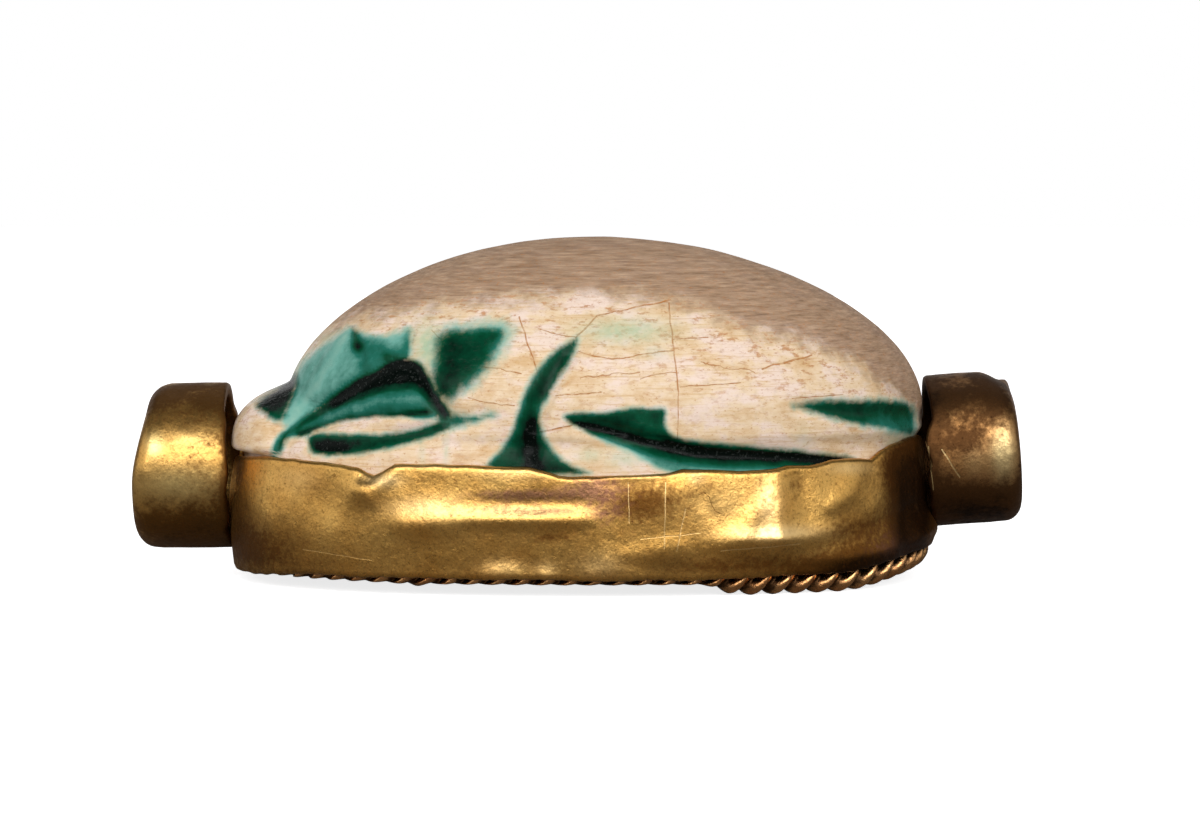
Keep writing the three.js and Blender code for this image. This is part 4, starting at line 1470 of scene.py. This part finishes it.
@dataclass(frozen=True)
class GlazedStone:
    """Cream stone under old green glaze, worn brown and dull over the top."""

    effects: Effects
    cream: Colour = paint(231, 206, 172)
    blush: Colour = paint(236, 214, 198)
    honey: Colour = paint(212, 174, 126)
    worn: Colour = paint(162, 132, 106)
    worn_light: Colour = paint(192, 161, 133)
    dark_brown: Colour = paint(124, 96, 73)
    stain: Colour = paint(184, 118, 60)
    crack: Colour = paint(182, 118, 60)
    veil: Colour = paint(176, 194, 160)
    grit: Colour = paint(132, 140, 134)
    pale_glaze: Colour = paint(140, 184, 168)
    light_glaze: Colour = paint(110, 168, 154)
    teal_glaze: Colour = paint(36, 108, 92)
    green_glaze: Colour = paint(5, 70, 46)
    black_glaze: Colour = paint(4, 10, 7)

    def bare_stone(self, board: Board, place: Feed, fine: Feed) -> bpy.types.NodeSocket:
        """Returns the colour of the cream stone without glaze or wear."""
        cloud = board.noise(board.stretched(place, (0.8, 1.0, 1.5)), 1.5, 5.0, 0.62)
        colour = board.ramp(cloud, ((0.40, self.blush), (0.52, self.cream), (0.74, self.honey)))
        streak = board.noise(board.stretched(place, (0.55, 1.0, 11.0)), 1.8, 5.0, 0.68)
        colour = board.mix(board.span(streak, 0.50, 0.66, 0.0, 0.65), colour, self.honey)
        return board.mix(board.span(fine, 0.5, 0.75, 0.0, 0.30), colour, self.worn_light)

    def dashes(self, board: Board, place: Feed, wear: Feed, worn: Feed) -> bpy.types.NodeSocket:
        """Returns a mask of short stains, which crowd towards the worn top."""
        near_edge = board.span(wear, -2.6, 0.2, 0.35, 1.0)
        mask = self.effects.specks(board, board.stretched(place, (1.0, 1.2, 2.6)), 3.4, 0.535, 0.13)
        mask = board.math("MULTIPLY", mask, near_edge)
        return board.math("MULTIPLY", mask, board.blend(worn, 1.0, 0.2))

    def cracks(self, board: Board, place: Feed, fine: Feed) -> bpy.types.NodeSocket:
        """Returns a mask of the hair cracks, which only the near flank has."""
        mask: Feed = 0.0
        for start, end, width, waver in CRACKS:
            line = self.effects.line(board, place, start, end, width, waver)
            mask = board.math("MAXIMUM", line, mask)
        y = board.node("ShaderNodeSeparateXYZ", {0: place}).outputs[1]
        mask = board.math("MULTIPLY", mask, board.span(y, -1.5, -0.5, 1.0, 0.0))
        return board.math("MULTIPLY", mask, board.span(fine, 0.36, 0.56, 0.45, 1.0))

    def glaze(self, board: Board, pool: Feed, pits: Feed) -> bpy.types.NodeSocket:
        """Returns the colour of the glaze, from pale where it is thin to black where it pools."""
        colour = board.ramp(pool, (
            (0.06, self.pale_glaze), (0.26, self.light_glaze), (0.48, self.teal_glaze),
            (0.70, self.green_glaze), (0.93, self.black_glaze),
        ))
        return board.mix(board.math("MULTIPLY", pits, 0.07), colour, self.grit)

    def material(self) -> bpy.types.Material:
        """Builds the stone's finish.

        Returns:
            The material.
        """
        made = bpy.data.materials.new("glazed_stone")
        made.use_nodes = True
        board = Board(made.node_tree)
        shader = made.node_tree.nodes["Principled BSDF"]
        place = board.place()
        fine = board.noise(place, 6.0, 4.0, 0.6)
        grain = board.noise(board.stretched(place, (0.55, 1.0, 7.0)), 2.6, 6.0, 0.7)
        wear = board.attribute("wear")
        rag = board.swing(board.noise(place, 1.8, 5.0, 0.6), 1.3)
        worn = board.span(board.math("ADD", wear, rag), -0.35, 0.40)
        dashes = self.dashes(board, place, wear, worn)
        cracks = self.cracks(board, place, fine)
        ragged = board.swing(board.noise(place, 3.6, 5.0, 0.62), 1.3)
        cover = board.span(board.math("ADD", board.attribute("glaze"), ragged), -0.60, 0.75)
        cloudy = board.swing(board.noise(place, 3.0, 4.0, 0.65), 0.35)
        pool = board.math("ADD", board.attribute("pool"), cloudy)
        pits = board.math(
            "MULTIPLY", self.effects.specks(board, place, 13.0, 0.56, 0.05), board.span(pool, 0.82, 1.0)
        )

        colour = self.bare_stone(board, place, fine)
        brown = board.ramp(grain, ((0.30, self.dark_brown), (0.5, self.worn), (0.70, self.worn_light)))
        colour = board.mix(board.math("MULTIPLY", worn, 0.94), colour, brown)
        colour = board.mix(board.math("MULTIPLY", dashes, 0.75), colour, self.stain)
        flecks = self.effects.specks(board, board.stretched(place, (1.0, 1.0, 1.8)), 11.0, 0.59, 0.08)
        colour = board.mix(board.math("MULTIPLY", flecks, 0.50), colour, self.stain)
        colour = board.mix(board.math("MULTIPLY", cracks, 0.85), colour, self.crack)
        # The engraved lines of the seal face are coloured darker.
        darkening = board.math("MULTIPLY", board.attribute("engraved"), board.span(fine, 0.35, 0.6, 0.45, 0.9))
        colour = board.mix(darkening, colour, self.dark_brown)
        veil = board.math("MULTIPLY", board.attribute("veil"), board.span(fine, 0.35, 0.6, 0.7, 1.0))
        colour = board.mix(veil, colour, self.veil)
        colour = board.mix(cover, colour, self.glaze(board, pool, pits))
        board.feed(shader.inputs["Base Color"], colour)

        dull = board.blend(cover, board.blend(worn, 0.30, 0.58), 0.20)
        dull = board.math("ADD", dull, board.swing(fine, 0.18))
        dull = board.math("ADD", dull, board.math("MULTIPLY", pits, 0.1), clamp=True)
        board.feed(shader.inputs["Roughness"], dull)
        bare = board.math("MULTIPLY", board.math("SUBTRACT", 1.0, worn), board.math("SUBTRACT", 1.0, cover))
        board.feed(shader.inputs["Coat Weight"], board.math("MULTIPLY", bare, 0.10))
        shader.inputs["Coat Roughness"].default_value = 0.20
        shader.inputs["IOR"].default_value = 1.5
        shader.inputs["Specular IOR Level"].default_value = 0.08
        height = board.math("MULTIPLY", grain, board.blend(worn, 0.12, 0.6))
        height = board.math("SUBTRACT", height, board.math("MULTIPLY", cracks, 0.6))
        height = board.math("SUBTRACT", height, board.math("MULTIPLY", pits, 0.2))
        height = board.math("SUBTRACT", height, board.math("MULTIPLY", dashes, 0.25))
        bump = board.node("ShaderNodeBump", {"Height": height, "Strength": 0.55, "Distance": 0.00006})
        board.feed(shader.inputs["Normal"], bump.outputs[0])
        return made


@dataclass(frozen=True)
class OldGold:
    """Worn gold with brown patina and dull purple tarnish, and with painted shade and painted highlights
    where its marks put them.
    """

    effects: Effects
    name: str
    gold: Colour
    light: Colour
    pale: Colour
    brown: Colour
    tarnish: Colour
    deep_brown: Colour
    roughness: float
    darkening: float
    clouded: float = 0.6
    marks: tuple[str, str, str] | None = None
    shaded_valleys: str | None = None
    scratches: Lines = ()
    nicks: Lines = ()

    def lines(self, board: Board, place: Feed, lines: Lines, waver: float) -> Feed:
        """Returns a mask of thin lines, or nothing where there are none."""
        mask: Feed = 0.0
        for start, end, width in lines:
            mask = board.math("MAXIMUM", self.effects.line(board, place, start, end, width, waver), mask)
        return mask

    def material(self) -> bpy.types.Material:
        """Builds the metal's finish.

        Returns:
            The material.
        """
        made = bpy.data.materials.new(self.name)
        made.use_nodes = True
        board = Board(made.node_tree)
        shader = made.node_tree.nodes["Principled BSDF"]
        place = board.place()
        cloud = board.noise(place, 0.8, 5.0, 0.6)
        fine = board.noise(place, 7.0, 5.0, 0.65)
        patina_and_shade, blush, painted_highlight = board.span(cloud, 0.44, 0.62, 0.0, self.clouded), 0.0, 0.0
        # The marks add painted shade to the patina and bring the painted highlights.
        if self.marks:
            spread, blush, painted_highlight = (board.attribute(name) for name in self.marks)
            patina_and_shade = board.math("ADD", patina_and_shade, spread)
        if self.shaded_valleys:
            # Painted shade in the valleys between the two wires, and a little painted highlight on their
            # crests.
            painted_valley_shade = board.span(board.attribute(self.shaded_valleys), 0.5, 0.96, 1.0, -0.3)
            patina_and_shade = board.math("ADD", patina_and_shade, painted_valley_shade)
        broken = board.swing(fine, 1.5)
        brown = board.math("ADD", board.math("ADD", patina_and_shade, broken), board.swing(cloud, 0.9))
        brown = board.span(board.math("ADD", brown, self.darkening), 0.05, 1.15, 0.0, 0.92)
        purple = board.span(board.math("ADD", blush, broken), 0.1, 1.1, 0.0, 0.85)
        # The deepest brown goes where patina and painted shade are heaviest.
        deepest_patina_and_shade = board.span(board.math("ADD", patina_and_shade, broken), 1.2, 2.2, 0.0, 0.88)
        # Grains and grime are left off where highlights are painted.
        off_painted_highlight = board.math("SUBTRACT", 1.0, painted_highlight, clamp=True)
        grains = board.span(board.noise(place, 17.0, 4.0, 0.7), 0.50, 0.66, 0.0, 0.42)
        grains = board.math("MULTIPLY", grains, off_painted_highlight)
        grime = board.math("MULTIPLY", self.effects.specks(board, place, 9.0, 0.60, 0.08), off_painted_highlight)
        scratched = self.lines(board, place, self.scratches, 0.05)
        nicked = self.lines(board, place, self.nicks, 0.08)

        colour = board.ramp(cloud, ((0.34, self.gold), (0.66, self.light)))
        # Painted highlights, mixed towards the pale colour.
        colour = board.mix(painted_highlight, colour, self.pale)
        colour = board.mix(brown, colour, self.brown)
        colour = board.mix(purple, colour, self.tarnish)
        colour = board.mix(deepest_patina_and_shade, colour, self.deep_brown)
        colour = board.mix(grains, colour, self.brown)
        colour = board.mix(board.math("MULTIPLY", grime, 0.45), colour, self.brown)
        colour = board.mix(board.math("MULTIPLY", scratched, 0.6), colour, self.pale)
        colour = board.mix(board.math("MULTIPLY", nicked, 0.75), colour, self.brown)
        board.feed(shader.inputs["Base Color"], colour)

        shader.inputs["Metallic"].default_value = 1.0
        dull = board.blend(brown, self.roughness, self.roughness + 0.16)
        dull = board.math("ADD", dull, board.swing(fine, 0.35))
        dull = board.math("ADD", dull, board.math("MULTIPLY", grime, 0.15), clamp=True)
        board.feed(shader.inputs["Roughness"], dull)
        height = board.math("ADD", board.noise(place, 16.0, 3.0, 0.6), board.math("MULTIPLY", grime, -0.4))
        height = board.math("ADD", height, board.math("MULTIPLY", board.noise(place, 3.4, 4.0, 0.6), 3.4))
        height = board.math("SUBTRACT", height, board.math("MULTIPLY", scratched, 0.5))
        bump = board.node("ShaderNodeBump", {"Height": height, "Strength": 0.4, "Distance": 0.000012})
        board.feed(shader.inputs["Normal"], bump.outputs[0])
        return made


@dataclass(frozen=True)
class Softbox:
    """A rectangular soft light that faces the seal.

    Its azimuth goes round from the near side, positive towards the tail, and its elevation is above the
    floor, both in degrees. Its size is in metres and its power in watts.
    """

    name: str
    azimuth: float
    elevation: float
    size: tuple[float, float]
    power: float
    away: float = 0.30


SOFTBOXES = (
    Softbox("key", 0.0, 27.0, (0.50, 0.16), 0.98),
    Softbox("front_fill", 0.0, 4.0, (0.50, 0.09), 0.10),
    Softbox("left_fill", -78.0, 14.0, (0.34, 0.20), 0.20),
    Softbox("right_fill", 68.0, 16.0, (0.34, 0.18), 0.125),
    Softbox("back_fill", 180.0, 62.0, (0.34, 0.20), 0.10),
    Softbox("back_low", 180.0, 12.0, (0.44, 0.14), 0.12),
)


@dataclass
class Studio:
    """A pale floor, soft light and the camera at the side view's place."""

    floor_size: float = 3.0
    soft_world: Colour = (0.25, 0.25, 0.26, 1.0)
    mirrored_world: Colour = (0.07, 0.07, 0.07, 1.0)
    soft_floor: Colour = (0.16, 0.155, 0.15, 1.0)
    mirrored_floor: Colour = (0.22, 0.205, 0.19, 1.0)

    def camera(self) -> None:
        """Places the camera."""
        data = bpy.data.cameras.new("side_camera")
        data.lens, data.sensor_width = VIEW.lens, VIEW.sensor
        data.clip_start, data.clip_end = 0.005, 10.0
        made = bpy.data.objects.new("side_camera", data)
        bpy.context.scene.collection.objects.link(made)
        back = Vector((0.0, -math.cos(VIEW.elevation), math.sin(VIEW.elevation)))
        made.location = (Vector(VIEW.target) + back * VIEW.distance) * MM
        made.rotation_euler = (-back).to_track_quat("-Z", "Y").to_euler()
        bpy.context.scene.camera = made

    def hang(self, light: Softbox) -> None:
        """Adds a soft light to the scene.

        Args:
            light: What it is and where it stands.
        """
        data = bpy.data.lights.new(light.name, "AREA")
        data.shape = "RECTANGLE"
        data.size, data.size_y = light.size
        data.energy = light.power
        made = bpy.data.objects.new(light.name, data)
        bpy.context.scene.collection.objects.link(made)
        around, up = math.radians(light.azimuth), math.radians(light.elevation)
        back = Vector((math.sin(around) * math.cos(up), -math.cos(around) * math.cos(up), math.sin(up)))
        made.location = Vector(VIEW.target) * MM + back * light.away
        made.rotation_euler = (-back).to_track_quat("-Z", "Y").to_euler()

    def floor(self) -> None:
        """Lays the pale floor, which metal and stone see dimmer than the camera does."""
        bm = bmesh.new()
        bmesh.ops.create_grid(bm, x_segments=1, y_segments=1, size=self.floor_size / 2)
        mesh = bpy.data.meshes.new("pale_floor")
        bm.to_mesh(mesh)
        bm.free()
        made = bpy.data.objects.new("pale_floor", mesh)
        bpy.context.scene.collection.objects.link(made)
        material = bpy.data.materials.new("pale_floor")
        material.use_nodes = True
        board = Board(material.node_tree)
        pale = material.node_tree.nodes["Principled BSDF"]
        pale.inputs["Base Color"].default_value = (0.9, 0.9, 0.9, 1)
        pale.inputs["Roughness"].default_value = 0.9
        pale.inputs["Specular IOR Level"].default_value = 0.0
        pale.inputs["Emission Color"].default_value = (1, 1, 1, 1)
        pale.inputs["Emission Strength"].default_value = 0.79
        path = board.node("ShaderNodeLightPath").outputs
        tone = board.mix(path["Is Glossy Ray"], self.soft_floor, self.mirrored_floor)
        dim = board.node("ShaderNodeBsdfDiffuse", {"Color": tone})
        seen = path["Is Camera Ray"]
        mixed = board.node("ShaderNodeMixShader", {0: seen, 1: dim.outputs[0], 2: pale.outputs[0]})
        output = material.node_tree.nodes["Material Output"]
        board.feed(output.inputs["Surface"], mixed.outputs[0])
        mesh.materials.append(material)

    def world(self) -> None:
        """Sets the surroundings: white to the camera, soft to dull surfaces and dark in reflections."""
        world = bpy.data.worlds.new("studio")
        bpy.context.scene.world = world
        world.use_nodes = True
        board = Board(world.node_tree)
        sky = world.node_tree.nodes["Background"]
        path = board.node("ShaderNodeLightPath").outputs
        surface = board.mix(path["Is Glossy Ray"], self.soft_world, self.mirrored_world)
        board.feed(sky.inputs["Color"], board.mix(path["Is Camera Ray"], surface, (1, 1, 1, 1)))
        sky.inputs["Strength"].default_value = 1.0

    def build(self) -> None:
        """Sets up the whole studio."""
        self.camera()
        self.floor()
        self.world()
        for light in SOFTBOXES:
            self.hang(light)
        bpy.context.scene.view_settings.view_transform = "Standard"


def dress(piece: bpy.types.Object, node: str, material: bpy.types.Material) -> None:
    """Gives a piece its finish and its place in the frame.

    Args:
        piece: The piece.
        node: The node of the frame that it stands for.
        material: Its finish.
    """
    piece.data.materials.clear()
    piece.data.materials.append(material)
    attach(piece, BODY)
    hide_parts(node)
    faces = len(piece.data.polygons)
    LOG.info("%s: %d faces, stands for %s", piece.name, faces, node)


BAND_SCRATCHES = (
    ((665, 480), (664, 545), 0.018), ((685, 506), (676, 548), 0.016), ((628, 480), (629, 520), 0.014),
    ((640, 536), (700, 530), 0.012), ((720, 548), (800, 543), 0.014), ((300, 552), (372, 560), 0.010),
)
BAND_NICKS = (
    ((698, 493), (703, 490), 0.014), ((703, 490), (708, 494), 0.014), ((708, 494), (711, 502), 0.013),
    ((711, 502), (714, 509), 0.013), ((714, 509), (720, 512), 0.012),
)
COLLAR_SCRATCHES = (
    ((954, 458), (973, 487), 0.02), ((940, 455), (946, 500), 0.014), ((935, 440), (944, 476), 0.012),
)


def main() -> None:
    """Builds the seal piece by piece, dresses it and sets the studio."""
    logging.basicConfig(level=logging.INFO, format="%(name)s: %(message)s")
    effects = Effects(hairline_group(), speckle_group())
    band_gold = OldGold(
        effects, "band_gold", gold=paint(210, 156, 78), light=paint(226, 178, 98), pale=paint(250, 212, 146),
        brown=paint(98, 58, 20), tarnish=paint(150, 104, 84), deep_brown=paint(40, 25, 14),
        roughness=0.33, darkening=0.0, clouded=0.0, marks=("patina_and_shade", "blush", "painted_highlight"),
        scratches=BAND_SCRATCHES, nicks=BAND_NICKS,
    )
    wire_gold = OldGold(
        effects, "wire_gold", gold=paint(204, 142, 88), light=paint(250, 196, 134), pale=paint(250, 206, 142),
        brown=paint(58, 36, 22), tarnish=paint(72, 48, 40), deep_brown=paint(30, 19, 12), roughness=0.21,
        darkening=0.06, shaded_valleys="strand",
    )
    head_gold = OldGold(
        effects, "head_collar_gold", gold=paint(206, 154, 78), light=paint(220, 172, 96),
        pale=paint(246, 214, 140), brown=paint(100, 64, 26), tarnish=paint(100, 70, 50),
        deep_brown=paint(34, 22, 12), roughness=0.36, darkening=0.05, clouded=0.4,
        marks=("patina_and_shade", "blush", "painted_highlight"),
    )
    tail_gold = OldGold(
        effects, "tail_collar_gold", gold=paint(172, 124, 74), light=paint(188, 142, 90),
        pale=paint(240, 210, 150), brown=paint(76, 48, 26), tarnish=paint(96, 70, 66),
        deep_brown=paint(30, 20, 14), roughness=0.38, darkening=0.25, clouded=0.6,
        marks=("patina_and_shade", "blush", "painted_highlight"), scratches=COLLAR_SCRATCHES,
    )
    dress(Stone().build(), "scarab_stone", GlazedStone(effects).material())
    dress(Band().build(), "gold_band", band_gold.material())
    dress(WireFoot().build(), "twisted_wire_foot", wire_gold.material())
    dress(HEAD_COLLAR.build(), HEAD_COLLAR.node, head_gold.material())
    dress(TAIL_COLLAR.build(), TAIL_COLLAR.node, tail_gold.material())
    Studio().build()


if __name__ == "__main__":
    main()
